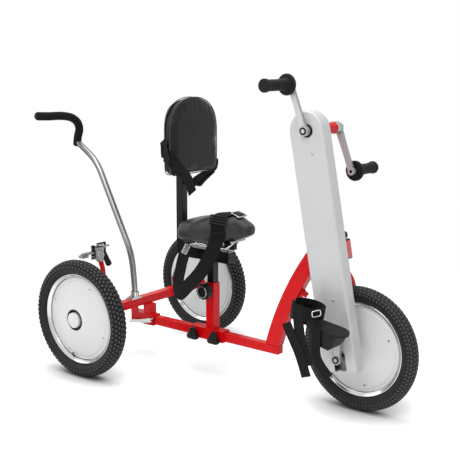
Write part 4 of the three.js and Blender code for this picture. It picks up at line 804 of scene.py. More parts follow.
def treadHeight(turnShare, crownShare, tread):
    """The tread's height, as a share of one block, at a share of the turn and a place from -1 to 1 across."""
    height = np.zeros(np.broadcast(turnShare, crownShare).shape)
    for low, high, offset, slant, duty in tread["rows"]:
        for side in (-1, 1):
            across = crownShare * side
            fromMiddle = across - (low + high) / 2
            inRow = blockEdges(fromMiddle / (2 * (high - low)), 0.5, 0.05)
            inRow = np.where(np.abs(fromMiddle) < (high - low), inRow, 0)
            phase = turnShare * tread["blocks"] + offset * (1 if side > 0 else 1.5) + slant * across
            height = np.maximum(height, inRow * blockEdges(phase, duty, 0.07))
    return height


def tyre(name, centre, body, size, tread):
    """A tyre about the y axis: the casing's grid, lifted along its own normal by the tread."""
    bead, radius, halfWidth = size
    across = 84
    stepsToBlock = 8
    steps = tread["blocks"] * stepsToBlock
    base = casing(radius - tread["height"], halfWidth, bead, across)
    direction = np.gradient(base, axis=0)
    normal = unit(np.stack([direction[:, 1], -direction[:, 0]], axis=-1))
    if normal[across // 2][0] < 0:
        normal = -normal
    lengths = lengthsOf(base)
    crownShare = (lengths / lengths[-1] * 2 - 1) / tread["reach"]
    turnShare = np.arange(steps) / steps
    height = treadHeight(turnShare[:, None], crownShare[None, :], tread) * tread["height"]
    ribs = sum(0.5 * np.exp(-((np.abs(crownShare) - place) / 0.012) ** 2) for place in tread["ribs"])
    lifted = base[None] + normal[None] * (height + ribs[None])[..., None]
    inside = np.linspace(base[-1], base[0], 8)[1:-1]
    lifted = np.concatenate([lifted, np.broadcast_to(inside, (steps,) + inside.shape)], axis=1)
    angle = turnShare[:, None] * 2 * math.pi
    grid = np.stack([lifted[..., 0] * np.cos(angle), lifted[..., 1], lifted[..., 0] * np.sin(angle)], axis=-1)
    part = shell(grid + np.asarray(centre), wrapRows=True)
    obj = piece("look_" + name, part, "tyreRubber", body, (name,), sharp=60)
    # The tread attribute carries painted shade: 0 in the grooves, 1 on the block tops, 0.3 on the sidewalls.
    share = np.full(grid.shape[:2], 0.3)
    onTread = smoothStep(1.04 - np.abs(crownShare), 0.0, 0.06)
    share[:, :across] = 0.3 * (1 - onTread) + onTread * height / tread["height"]
    layer = obj.data.attributes.new("tread", "FLOAT", "POINT")
    layer.data.foreach_set("value", share.astype(np.float32).reshape(-1))


# Rims, discs and hub caps

def screwHead(centre, radius, facing, depth=1.6):
    """A low dome with a dip at its middle; facing is -1 for a right side and 1 for a left side."""
    profile = [(radius * 0.22, depth * 0.55), (radius * 0.3, depth), (radius * 0.7, depth * 0.9),
               (radius, depth * 0.35), (radius, -1.0)]
    return placed(turned(profile, radius * 0.15, 5, 20), centre, facing)


def screwRing(centre, turns, reach, seat, radius, side):
    """Screws round a disc at turns in degrees; seat is how far out from its middle plane they sit."""
    screws = []
    for angle in np.radians(turns):
        place = (centre[0] + reach * math.cos(angle), centre[1] + side * seat,
                 centre[2] + reach * math.sin(angle))
        screws.append(screwHead(place, radius, side))
    return screws


def rim(name, centre, radius, halfWidth, body):
    """A chrome rim with rolled edges, a closed turned ring."""
    well = radius - 9
    profile = [(well, -halfWidth + 5), (radius - 3, -halfWidth), (radius, -halfWidth + 2.5),
               (radius, halfWidth - 2.5), (radius - 3, halfWidth), (well, halfWidth - 5),
               (well - 5, halfWidth - 7), (well - 5, -halfWidth + 7)]
    piece("look_" + name, placed(turned(profile, 2.2, 5, 128, ring=True), centre), "chrome", body, (name,))


valveLook = {"turn": math.radians(-103), "tip": math.radians(28), "rootReach": 146.0, "rootSide": 7.0}


def valve(centre, side):
    """A rubber valve: its stem points from the rim to the hub and is tipped outwards."""
    angle = valveLook["turn"]
    tip = valveLook["tip"]

    def stand(p):
        """From a stem drawn along y to its place: down the spoke's line and outwards by the tip."""
        reach = valveLook["rootReach"] - p[:, 1] * math.cos(tip)
        y = side * (valveLook["rootSide"] + p[:, 1] * math.sin(tip) + p[:, 2] * math.cos(tip))
        return np.column_stack([reach * math.cos(angle) - p[:, 0] * math.sin(angle), y + centre[1],
                                reach * math.sin(angle) + p[:, 0] * math.cos(angle) + centre[2]])

    stem = [(3.4, 0), (3.4, 10), (2.6, 11), (2.6, 16), (3.2, 16.4), (3.2, 20), (2.4, 20.8)]
    return moved(turned(stem, 0.4, 3, 16), stand)


rearDisc = {"edge": 143.6, "step": 129.6, "screwReach": 124.0,
            "screwTurns": {"right": [63.1, 156.3, -21.1, -113.8], "left": [24.8, -27.5, 150.0, -116.7]}}
frontDisc = {"edge": 137.6, "step": 125.6, "screwReach": 114.0, "screwSeat": 9.6,
             "screwTurns": [24.4, -77.0, 140.0, -165.0]}


def rearWheel(side):
    """One rear wheel; its disc bulges outwards round a black recess and a white dome."""
    label = sideName(side)
    body = "rear_wheel_" + label
    centre = (0.0, side * halfTrack, rearRadius)
    tyre("rear_tyre_" + label, centre, body, (158.4, rearRadius, 27.0), rearTread)
    rim("rear_rim_" + label, centre, 158.0, 16.0, body)
    edge = rearDisc["edge"]
    step = rearDisc["step"]
    disc = [(10.6, -8), (36, -7), (step, -7), (step + 3, -4), (edge, -4), (edge, 4), (step + 4, 5),
            (step, 8.5), (step * 0.8, 15), (step * 0.6, 22), (step * 0.42, 27.5), (38, 30), (36, 28.5),
            (36, 20), (10.6, 20)]
    part = placed(turned(disc, 2.4, 5, 144, ring=True), centre, side)
    piece("look_rear_disc_" + label, part, "whitePlastic", body, ("rear_disc_" + label,), sharp=30)
    recess = [(25.6, 20.4), (35.7, 20.4), (35.7, 30.2), (33.8, 30.8), (32.6, 28.6), (31.8, 23.0),
              (26.4, 22.6)]
    part = placed(turned(recess, 0.7, 4, 72, ring=True), centre, side)
    piece("look_hub_recess_" + label, part, "blackPlastic", body)
    dome = [(25, 20.4), (26, 26), (26.6, 34.4)]
    dome += [(26.4 * math.cos(t), 35.4 + 4.6 * math.sin(t)) for t in np.linspace(0.16, 1.5, 12)]
    part = placed(shell(lathe(dome, 72)), centre, side)
    piece("look_hub_cap_" + label, part, "whitePlastic", body, ("rear_hub_cap_" + label,))
    reach = rearDisc["screwReach"]
    seat = 7.2 + (step - reach) / (step * 0.2) * 6.5
    screws = screwRing(centre, rearDisc["screwTurns"][label], reach, seat, 3.8, side)
    piece("look_disc_screws_" + label, screws, "darkSteel", body)
    piece("look_valve_" + label, valve(centre, side), "blackPlastic", body)


def frontWheel():
    """The front wheel; the disc is flatter and alike on both sides."""
    body = "front_wheel"
    centre = (wheelbase, 0.0, frontRadius)
    tyre("front_tyre", centre, body, (152.4, frontRadius, 23.0), frontTread)
    rim("front_rim", centre, 152.0, 14.0, body)
    d = frontDisc
    half = [(d["edge"], 4), (d["step"] + 4, 5), (d["step"], 8.4), (98, 12.5), (70, 16), (40, 19), (24, 20.5),
            (18, 24), (18, 34.5), (8.6, 34.5)]
    disc = [(r, -y) for r, y in half[::-1]] + half
    piece("look_front_disc", placed(turned(disc, 2.2, 5, 144, ring=True), centre), "whitePlastic", body,
          ("front_disc",), sharp=30)
    screws = []
    for side in (-1, 1):
        screws += screwRing(centre, d["screwTurns"], d["screwReach"], d["screwSeat"], 3.2, side)
    piece("look_front_screws", screws, "darkSteel", body)


rearWheel(-1)
rearWheel(1)
frontWheel()
print("wheels done")


# Weld beads on the main tube's two sleeves

weld = {"half": 17, "height": 151.2, "radius": 1.6, "ripple": 0.14, "steps": 90}
seatTubeX = 316
riserX = 16


def weldBead(x):
    """A bead round the foot of an upright tube at x; its radius goes up and down as a sine of the steps."""
    w = weld
    half = w["half"]
    square = [(x - half, -half), (x + half, -half), (x + half, half), (x - half, half)]
    corners = rounded([(*corner, w["height"]) for corner in square], 3, 5, closed=True)
    path = evenSteps(np.vstack([corners, corners[:1]]), w["steps"])
    return shell(sweep(path, circle(w["radius"], 8), 1 + w["ripple"] * np.sin(np.arange(w["steps"]) * 2.1)))


piece("look_weld_seat", weldBead(seatTubeX), "redPaint", "seat_carriage")
piece("look_weld_riser", weldBead(riserX), "redPaint", "rear_carriage")


# Push bar and its foam grip

barRadius = 11
foamRadius = 15
# places along the bar as x, distance from the bar's side and z
barWay = [(0, 0, 222.4), (0, 0, 262), (-12, 0, 381), (-180, 0, 705), (-275, 0, 765)]
gripWay = [(-283, 0, 752), (-281, 3, 785), (-277, 8, 815), (-272, -6, 842), (-270, -38, 861),
           (-272, -84, 869), (-277, -135, 870), (-283, -190, 873)]


def pushBar():
    """A chrome bar with two bends, and a foam sleeve that hooks out to the side with rounded ends."""
    bar, grip = (np.array(way) + np.array([0, pushBarSide, 0]) for way in (barWay, gripWay))
    path = evenSteps(rounded(bar, 60, 14), 140)
    piece("look_push_bar", shell(sweep(path, circle(barRadius, 32))), "barChrome", "push_bar", ("push_bar",))
    count = 150
    path = throughPoints(grip, count)
    scales = np.ones(count)
    scales[:5] = (0.55, 0.78, 0.9, 0.96, 0.99)
    scales[-5:] = scales[4::-1]
    sleeve = shell(sweep(path, circle(foamRadius, 36), scales))
    piece("look_push_grip", sleeve, "foam", "push_bar", ("push_bar_grip",))
    direction = unit(path[-1] - path[-3])
    plug = evenSteps([path[-1] - direction * 2, path[-1] + direction * 1.6], 6)
    cap = shell(sweep(plug, circle(9.5, 28), [1, 1, 1, 0.98, 0.92, 0.8]))
    piece("look_grip_plug", cap, "blackPlastic", "push_bar")


pushBar()


# Hand grips

gripSettings = {"length": 121.0, "start": 8.0, "flange": 32.0, "body": 17.0, "bead": 20.0, "rings": 22,
                "groove": 0.9}


def crankHub():
    """The middle of the hand crank's axle, at y = 0."""
    x, y, z = leaning(np.array([0.0, 0.0, crankRise]))
    return np.array([x, 0, z])


def handGrip():
    """A turned grip: pin, flange, grooved sleeve and end bead; radius falls by half a wave at each groove."""
    g = gripSettings
    start = g["start"]
    end = start + g["length"]
    line = [(4.9, -11), (4.9, start - 3), (9, start - 3), (9, start), (g["flange"] - 3, start),
            (g["flange"], start + 3), (g["flange"], start + 8), (g["flange"] - 5, start + 11),
            (19, start + 11.5), (g["body"], start + 16)]
    first = rounded(line, 1.4, 5)
    y = np.linspace(start + 16.5, end - 16, 150)
    wave = 0.5 - 0.5 * np.cos((y - y[0]) / (y[-1] - y[0]) * g["rings"] * 2 * math.pi)
    sleeve = np.column_stack([g["body"] - g["groove"] * (1 - wave) ** 3, y])
    line = [(g["body"], end - 15), (g["bead"], end - 11), (g["bead"], end - 2), (g["body"], end), (8, end),
            (3, end)]
    last = rounded(line, 1.8, 5)
    return shell(lathe(np.vstack([first, sleeve, last]), 48))


def placeGrip(side):
    """The right grip points to -y from the raised arm, the left one to +y from the lowered arm."""
    label = sideName(side)
    face = crankFaceLeft + 4 if side > 0 else crankFaceRight - 4
    turn = armTurn(handCrankAngle, side)
    part = placed(handGrip(), (0, face, handCrankLength), side)
    part = moved(part, lambda p: turnY(p, turn) + crankHub())
    piece("look_hand_grip_" + label, part, "gripRubber", "hand_grip_" + label, ("hand_grip_" + label,))


placeGrip(-1)
placeGrip(1)


# Caps on the cranks, ridges on the hand cranks, guard screws and the ring round the crank boss

crankCollar = {"inner": 17.9, "outer": 19.4, "start": 24.0, "end": 44.0}


def crankRidge(length):
    """The raised edge down an arm's outer face, from its boss to its eye, where two facets meet."""
    rows = []
    for share in np.linspace(0, 1, 24):
        half = 9.4 - 2.4 * math.sin(math.pi * share)
        peak = 0.4 + 3.4 * math.sin(math.pi * min(1.0, share * 1.02)) ** 0.5
        z = 15 + (length - 27) * share
        out = -4.0 * z / length + 0.9
        rows.append([(-half, out + 0.6, z), (-1.5, out - peak, z), (half, out + 0.6, z), (0, out + 1.4, z)])
    return shell(rows)


def crankCaps(label, hub, body, faces):
    """Bolt caps with pale centres at both ends of a crank's axle."""
    rings = []
    centres = []
    for face, way in zip(faces, (-1, 1)):
        rings.append(placed(faceRing(11.4, 6.6, face + way * 2.4, face + way * 4.2), hub))
        dome = turned([(6.4, 2.2), (6.4, 3.4), (5.4, 4.0), (2.0, 4.2)], 0.5, 3, 28)
        centres.append(placed(dome, hub + np.array([0, face, 0]), way))
    piece("look_cap_rings_" + label, rings, "blackPlastic", body)
    piece("look_cap_centres_" + label, centres, "paleCentre", body)


def crankDetails():
    """The caps, the ridges, the collar behind the left arm and what is fixed to the guard's face."""
    hub = crankHub()
    crankCaps("hand", hub, "hand_crank", (crankFaceRight, crankFaceLeft))
    crankCaps("foot", np.array([wheelbase, 0, frontRadius]), "front_wheel", (crankFaceRight, footFaceLeft))
    ridges = []
    for side, face in ((-1, crankFaceRight), (1, crankFaceLeft)):
        turn = armTurn(handCrankAngle, side)
        ridge = placed(crankRidge(handCrankLength), (0, face, 0), side)
        ridges.append(moved(ridge, lambda p: turnY(p, turn) + hub))
    piece("look_crank_ridges", ridges, "crankAlloy", "hand_crank")
    c = crankCollar
    collar = faceRing(c["outer"], c["inner"], c["start"], c["end"])
    piece("look_crank_collar", placed(collar, hub), "alloy", "steering")
    ring = faceRing(20, 9.5, guardFace - 1.2, guardFace + 0.6)
    piece("look_guard_ring", placed(ring, hub), "blackPlastic", "steering")
    seats = [leaning(np.array([8.0, guardFace - 1.2, rise])) for rise in (178.0, 617.0)]
    screws = [screwHead(seat, 5.2, -1, 2.2) for seat in seats]
    piece("look_guard_screws", screws, "steel", "steering")


crankDetails()


# Reflectors

headFront = 18.4
headSetBack = 27.0
cheekRear = -13.4


def frontReflector():
    """A black frame round a clear red inset, on its bracket with a silver bolt."""
    face = headFront + 6
    standing = lambda part: moved(part, lambda p: leaning(p - np.array([headSetBack, 0, 0])))
    holder = [standing(box(face, face + 9, -23, 23, 281, 343, 3.0)),
              standing(box(headFront + 0.2, face + 2, -7, 7, 268, 322, 1.2))]
    piece("look_reflector_frame", holder, "blackPlastic", "frame", ("front_reflector",))
    inset = standing(box(face + 7, face + 12, -18.5, 18.5, 286, 338, 2.2))
    piece("look_reflector_inset", inset, "redLens", "frame")
    head = moved(turned([(4.6, 0), (4.6, 3.4), (3.4, 4.4), (1.4, 4.5)], 0.6, 4, 24),
                 lambda p: np.column_stack([p[:, 1] + face - 2, p[:, 0], p[:, 2] + 274]))
    piece("look_reflector_bolt", standing(head), "chrome", "frame")


def rearReflector():
    """A dark red block in a black back plate on the brake's rear cheek."""
    rear = cheekRear
    block = box(rear - 9, rear - 2.5, -225, -187, 414, 446, 2.0)
    piece("look_rear_reflector", block, "darkRed", "rear_carriage", ("rear_reflector",))
    plate = box(rear - 3.5, rear, -225.5, -186.5, 413.5, 446.5, 1.0)
    piece("look_rear_reflector_back", plate, "blackPlastic", "rear_carriage")


frontReflector()
rearReflector()


# Brake unit: coil, bolts, lever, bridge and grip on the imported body

brake = {"pivot": 422.0, "head": -229.0, "outer": -259.0, "cheek": 13.0, "coilRadius": 6.2, "gripLong": 44}


def brakeDetails():
    """A coil round the pivot, bolt heads, a black stop lever, a bridge of two plates and a nut under it."""
    b = brake
    body = "rear_carriage"
    turns = np.linspace(0, 5 * 2 * math.pi, 150)
    coil = np.column_stack([np.linspace(-8.2, 8.2, 150), b["head"] - 20 + b["coilRadius"] * np.cos(turns),
                            b["pivot"] + b["coilRadius"] * np.sin(turns)])
    piece("look_brake_coil", shell(sweep(coil, circle(0.9, 8))), "chrome", body)
    bolts = []
    for y, z, radius in ((-249, 422, 5.6), (-249, 408, 3.6), (-228, 430, 3.6), (-226, 410, 4.2)):
        dome = turned([(radius, 0), (radius, 1.8), (radius * 0.72, 3.0), (1.2, 3.2)], 0.6, 4, 20)
        for way in (1, -1):
            bolts.append(moved(dome, lambda p: np.column_stack(
                [way * (b["cheek"] + p[:, 1]), p[:, 0] + y, p[:, 2] + z])))
    piece("look_brake_bolts", bolts, "chrome", body)
    piece("look_brake_lever", [box(-4, 4, b["outer"] - 4.5, b["outer"] - 0.4, 418, 444, 1.4),
                               box(-6, 6, b["outer"] - 6.5, b["outer"] + 4, 438.4, 446, 2.0)],
          "blackPlastic", body)
    bridge = [box(x, x + 3.2, -226, -198, 435.0, 442.6, 1.2) for x in (11.8, -15)]
    nut = moved(turned([(7.5, 0), (7.5, 9), (5.5, 10), (1.5, 10)], 0.8, 4, 6),
                lambda p: np.column_stack([p[:, 0], p[:, 2] + b["head"] + 2, b["pivot"] - 28 + p[:, 1]]))
    piece("look_brake_bridge", bridge + [nut], "chrome", body)


def brakeGrip():
    """A ringed rubber sleeve on the handle's end, and a cap that closes it."""
    ahead = np.array([1.0, 0, 0])
    way = np.array([0.0, 30.0, -54.0]) / math.hypot(30.0, 54.0)
    aside = np.array([0.0, 54.0, 30.0]) / math.hypot(30.0, 54.0)
    end = np.array([0.0, -191.0, 374.0]) - way * 8
    sleeve = [(8.2, 0), (10.4, 1.5)]
    sleeve += [(10.4 - 0.6 * (k % 2), 4 + k * 2.4) for k in range(16)]
    sleeve += [(9.6, 43), (8.4, brake["gripLong"])]
    start = end - way * brake["gripLong"]
    piece("look_brake_grip", moved(turned(sleeve, 0.8, 3, 28), along(start, ahead, way, aside)), "gripRubber",
          "brake_handle")
    cap = turned([(8.4, 0), (11, 1.5), (11, 14), (9.0, 17.6), (2, 18)], 1.5, 5, 28)
    piece("look_brake_grip_cap", moved(cap, along(end, ahead, way, aside)), "blackPlastic", "brake_handle")


brakeDetails()
brakeGrip()
print("small parts done")


# Soft pieces: shared tools

def pointsOf(mesh):
    """A mesh's points as an array."""
    points = np.empty(len(mesh.vertices) * 3, np.float32)
    mesh.vertices.foreach_get("co", points)
    return points.reshape(-1, 3).astype(float)


def applyShown(obj):
    """Replaces a piece's mesh by what its modifiers make of it."""
    mesh = bpy.data.meshes.new_from_object(obj.evaluated_get(bpy.context.evaluated_depsgraph_get()))
    obj.modifiers.clear()
    old = obj.data
    obj.data = mesh
    bpy.data.meshes.remove(old)


clothSteps = 20
clothSettings = {"quality": 6, "mass": 0.3, "tension_stiffness": 40, "compression_stiffness": 40,
                 "shear_stiffness": 20, "bending_stiffness": 3, "use_pressure": True}


def puff(obj, pressure, cap, voxel):
    """Remeshes a pad and lets cloth under pressure swell it; each point's move is shortened to the cap."""
    remesh = obj.modifiers.new("even", "REMESH")
    remesh.mode = "VOXEL"
    remesh.voxel_size = voxel
    applyShown(obj)
    cloth = obj.modifiers.new("cloth", "CLOTH")
    for name, value in clothSettings.items():
        setattr(cloth.settings, name, value)
    cloth.settings.uniform_pressure_force = pressure
    cloth.settings.effector_weights.gravity = 0
    cloth.collision_settings.use_collision = False
    before = pointsOf(obj.data)
    for step in range(1, clothSteps + 1):
        bpy.context.scene.frame_set(step)
    swollen = obj.evaluated_get(bpy.context.evaluated_depsgraph_get())
    move = pointsOf(swollen.data) - before
    obj.modifiers.remove(cloth)
    bpy.context.scene.frame_set(1)
    keep = np.minimum(1.0, cap / np.maximum(np.linalg.norm(move, axis=1), 1e-9))
    points = before + move * keep[:, None]
    obj.data.vertices.foreach_set("co", points.astype(np.float32).reshape(-1))
    obj.data.polygons.foreach_set("use_smooth", np.ones(len(obj.data.polygons), bool))
    obj.data.update()
    fine = obj.modifiers.new("fine", "SUBSURF")
    fine.levels = renderLevels
    fine.render_levels = renderLevels


# The saddle

saddle = {"rear": 224.0, "nose": 488.0, "half": 114.0, "noseHalf": 29.0, "noseLift": 40.0, "crease": 2.6}


def saddleFoot(x):
    """Height of the underside at x: it rises with the fourth power of the way to the nose."""
    share = np.clip((x - saddle["rear"]) / (saddle["nose"] - saddle["rear"]), 0, 1)
    return saddleBottom + saddle["noseLift"] * share ** 4


def saddleCrest(share):
    """Height of the middle line: it rises by 28 to the belt and falls by 30 to the nose, both smoothly."""
    return saddleBottom + 71 + 28 * smoothStep(share, 0.08, 0.58) - 30 * smoothStep(share, 0.68, 1.05)


def saddleRing(t, angle):
    """Points round the saddle at a share t of its length, each ring a rounded oblong that draws in below."""
    s = saddle
    c = np.cos(angle)
    level = np.sign(np.sin(angle)) * np.abs(np.sin(angle)) ** 0.6
    x = s["rear"] + t * (s["nose"] - s["rear"])
    rearRound = math.sqrt(max(0.004, 1 - max(0.0, (0.15 - t) / 0.157) ** 2))
    noseRound = math.sqrt(max(0.004, 1 - max(0.0, (t - 0.9) / 0.106) ** 2))
    half = (s["half"] + (s["noseHalf"] - s["half"]) * smoothStep(t, 0.26, 0.92)) * rearRound * noseRound
    foot = saddleFoot(x)
    height = (saddleCrest(t) - foot) * (0.8 + 0.2 * rearRound) * (0.84 + 0.16 * noseRound)
    drawn = np.where(level < 0, 1 - 0.1 * level * level, 1 - 0.05 * level)
    crease = s["crease"] * np.exp(-((level - 0.12) / 0.09) ** 2) * smoothStep(rearRound * noseRound, 0.1, 0.5)
    y = np.sign(c) * np.maximum(0, half * np.abs(c) ** 0.6 * drawn + crease * np.abs(c))
    dish = 3.0 * np.exp(-(y / 26) ** 2) * smoothStep(t, 0.05, 0.2) * (1 - smoothStep(t, 0.4, 0.6))
    z = foot + height * (0.5 + 0.5 * level) - dish * (level > 0.2)
    return np.column_stack([np.full(len(c), x), y, z])


def saddleSkin(x, turn, lift):
    """A point lifted off the saddle, and its normal; turn is in degrees from the left side over the top."""
    t = (x - saddle["rear"]) / (saddle["nose"] - saddle["rear"])
    angle = math.radians(turn)
    before, here, after = saddleRing(t, np.array([angle - 0.03, angle, angle + 0.03]))
    further = saddleRing(t + 0.01, np.array([angle]))[0]
    normal = unit(np.cross(further - here, after - before))
    if normal.dot(here - np.array([x, 0.0, saddleBottom + 40])) < 0:
        normal = -normal
    return here + normal * lift, normal


def saddleGrid(rows=110, around=120):
    """Rings from the rear to the nose, closer together at both ends."""
    ends = 0.5 - 0.5 * np.cos(np.linspace(0, math.pi, rows))
    shares = np.linspace(0, 1, rows) * 0.35 + ends * 0.65
    angle = np.arange(around) / around * 2 * math.pi
    return [saddleRing(t, angle) for t in shares]


# The saddle's lighter vinyl is painted light.
saddleCover = piece("look_saddle", shell(saddleGrid()), "saddleVinylLit", "saddle", ("saddle_cushion",),
                    sharp=80)
puff(saddleCover, 3.0, 0.0025, 0.0035)
print("saddle done")


# The back pad

pad = {"half": 122.0, "corner": 26.0, "back": 207.4, "points": 180}


def bezier(a, b, c, d, count):
    """A cubic curve from a to d with the handles b and c."""
    t = np.linspace(0, 1, count)[:, None]
    a, b, c, d = (np.asarray(v, float) for v in (a, b, c, d))
    return (1 - t) ** 3 * a + 3 * t * (1 - t) ** 2 * b + 3 * t * t * (1 - t) * c + t ** 3 * d


def padOutline():
    """The pad's outline in y and z: a flat foot with round corners and a tall arch."""
    half = pad["half"]
    low = padBottom + 1
    top = padTop - 1
    corner = pad["corner"]
    shoulder = top - half * 0.94
    foot = bezier((half - corner, low), (half - corner / 3, low), (half, low + corner / 3),
                  (half, low + corner), 10)
    arch = bezier((half, shoulder), (half, top - half * 0.3), (half * 0.58, top), (0, top), 24)
    line = np.vstack([[(-half + corner, low)], foot[:1], foot, arch, mirrored(arch)[1:], mirrored(foot)])
    return evenSteps(line, pad["points"] + 1)[:-1]


def mirrored(line):
    """A line in y and z drawn back from its end on the other side."""
    return line[::-1] * (-1, 1)


def padRing(depthShare, size):
    """The outline scaled by size about the pad's middle, at a share of the way from its back to its front."""
    middle = np.array([0.0, (padBottom + padTop) / 2])
    flat = middle + (padOutline() - middle) * size
    return np.column_stack([np.full(len(flat), pad["back"] + depthShare * (padFront - pad["back"])), flat])


def padGrid():
    """Rings from the board to the front: the side gusset, the rounded edge and a crowned face."""
    profile = [(0, 0.8), (0, 0.93), (0.02, 0.97), (0.12, 0.99), (0.4, 1.0), (0.62, 0.996), (0.72, 0.985),
               (0.82, 0.965), (0.9, 0.935), (0.955, 0.89), (0.985, 0.82), (1.0, 0.7), (1.02, 0.5),
               (1.03, 0.3), (1.035, 0.12)]
    return [padRing(depthShare, size) for depthShare, size in throughPoints(profile, 64)]


def padWelt(depthShare, radius):
    """A cord round the pad at a share of its depth: a circle carried round the closed outline."""
    path = padRing(depthShare, 1.0)
    side = np.tile(np.array([1.0, 0, 0]), (len(path), 1))
    up = np.cross(unit(np.roll(path, -1, axis=0) - np.roll(path, 1, axis=0)), side)
    return shell(carried(path, circle(radius, 8), side, up), wrapRows=True)


padCover = piece("look_back_pad", shell(padGrid()), "vinyl", "back_rest", ("back_pad",), sharp=80)
puff(padCover, 3.5, 0.003, 0.004)
# The welts are real cords; their lighter vinyl is a painted highlight.
piece("look_pad_welts", [padWelt(0.74, 1.9), padWelt(0.07, 1.5)], "weltVinylHighlight", "back_rest")
print("back pad done")


# Webbing

def throughFaces(stops, faces, count):
    """The way the band faces at even steps: blended between the stops by the share of its length."""
    faces = np.asarray(faces, float)
    lengths = lengthsOf(stops)
    wanted = np.linspace(0, lengths[-1], count)
    return unit(np.stack([np.interp(wanted, lengths, faces[:, k]) for k in range(3)], axis=-1))


def strapShell(stops, faces, width, thickness, steps):
    """A band through the stops; its flat side looks the way that faces says, and its edges are rolled."""
    path = throughPoints(stops, steps)
    direction = unit(np.gradient(path, axis=0))
    across = unit(np.cross(throughFaces(stops, faces, steps), direction))
    section = [(-0.5, -0.2), (-0.485, -0.5), (-0.45, -0.42), (-0.25, -0.5), (0.0, -0.5), (0.25, -0.5),
               (0.45, -0.42), (0.485, -0.5), (0.5, -0.2)]
    section = np.array(section + [(-a, -b) for a, b in section]) * (width, thickness)
    lie = np.empty((steps, len(section), 2))
    lie[..., 0] = lengthsOf(path)[:, None]
    lie[..., 1] = section[:, 0]
    return shell(carried(path, section, across, np.cross(direction, across))), lie.reshape(-1, 2) / 1000


def band(name, straps, body, replaced, place=None):
    """One or more bands as one piece, with a UV in metres along and across each."""
    parts = [part if place is None else moved(part, place) for part, lie in straps]
    obj = piece(name, parts, "webbing", body, replaced, sharp=60)
    # the two points that close a band's ends lie outside its grid, and take the first point's place
    lies = [np.vstack([lie, np.repeat(lie[:1], len(part[0]) - len(lie), axis=0)]) for part, lie in straps]
    corners = np.empty(len(obj.data.loops), np.int32)
    obj.data.loops.foreach_get("vertex_index", corners)
    layer = obj.data.uv_layers.new(name="weave")
    layer.data.foreach_set("uv", np.vstack(lies)[corners].astype(np.float32).reshape(-1))


def ladder(place, half, reach, bars, thickness, bar):
    """A ladder slider: two side rails of the given reach and bars across between them."""
    parts = [box(-reach, reach, way * half - bar, way * half + bar, 0, thickness, 0.9) for way in (-1, 1)]
    for x in np.linspace(-reach + bar, reach - bar, bars):
        parts.append(box(x - bar, x + bar, -half, half, 0.4, thickness + 1.2, 1.0))
    return [moved(part, place) for part in parts]


# The belt: a slack loop under the saddle, up its side and over the crest to the buckle

beltLift = 3.4
beltSize = {"width": 47, "thickness": 2.6, "steps": 200}
secondSize = {"width": 38, "thickness": 2.2, "steps": 60}
buckleSeat = {"x": 424.0, "turn": 88.0, "lift": 2.6, "long": 19, "wide": 23}
adjusterNear = (246.5, -56, 430)
# places on the saddle's skin, as x and the turn that saddleSkin takes
beltWay = [(390, 196), (390, 184), (389, 168), (388, 150), (387, 134), (387, 120), (390, 108), (396, 98),
           (404, 90)]
beltCrest = [saddleSkin(x, turn, beltLift) for x, turn in beltWay]
beltStops = [(250, -52, 444), (241, -66, 410), (234, -76, 362), (228, -82, 312), (241, -88, 281),
             (284, -91, 318), (334, -90, 368), (364, -82, 418), (383, -76, 462)]
beltFaces = [(0, -1, 0)] * 6 + [(0.2, -1, 0), (0.4, -0.9, 0), (0.3, -0.9, 0)]
beltStops += [tuple(point) for point, normal in beltCrest]
beltFaces += [tuple(normal) for point, normal in beltCrest]
secondStops = [(233, -82.5, 318), (236, -78, 345), (241, -70, 386), (247, -60, 424), (254, -50, 447)]


def onBelt(near, lift):
    """A change that puts a part drawn along x, across y and with its top at +z on the belt near a place."""
    steps = 240
    path = throughPoints(beltStops, steps)
    i = int(np.argmin(np.linalg.norm(path - np.asarray(near, float), axis=1)))
    i = min(max(i, 1), steps - 2)
    direction = unit(path[i + 1] - path[i - 1])
    across = unit(np.cross(throughFaces(beltStops, beltFaces, steps)[i], direction))
    out = np.cross(direction, across)
    return along(path[i] + out * lift, direction, across, out)


def buckle():
    """The square buckle on the saddle's top: a chrome rim round a black plate with a press button."""
    b = buckleSeat
    seat, up = saddleSkin(b["x"], b["turn"], b["lift"])
    slope = -math.atan2(up[0], up[2])
    place = lambda p: turnY(p, slope) + seat
    corners = np.array([(-1, -1), (1, -1), (1, 1), (-1, 1)]) * (b["long"], b["wide"])
    outer = rounded(corners, 5, 5, closed=True)
    rows = ((1, 0.4), (1, 3.6), (0.985, 4.4), (0.86, 4.4), (0.84, 3.6), (0.84, 0.4))
    rings = [np.column_stack([outer * share, np.full(len(outer), z)]) for share, z in rows]
    rimPart = moved(shell(rings, wrapRows=True), place)
    piece("look_buckle_rim", rimPart, "chrome", "saddle", ("belt_buckle",))
    press = [moved(box(-15.6, 15.6, -19.4, 19.4, 0.4, 3.0, 1.0), place),
             moved(box(-11, 11, -13, 13, 2.0, 6.4, 2.0), place)]
    piece("look_buckle_press", press, "blackPlastic", "saddle")


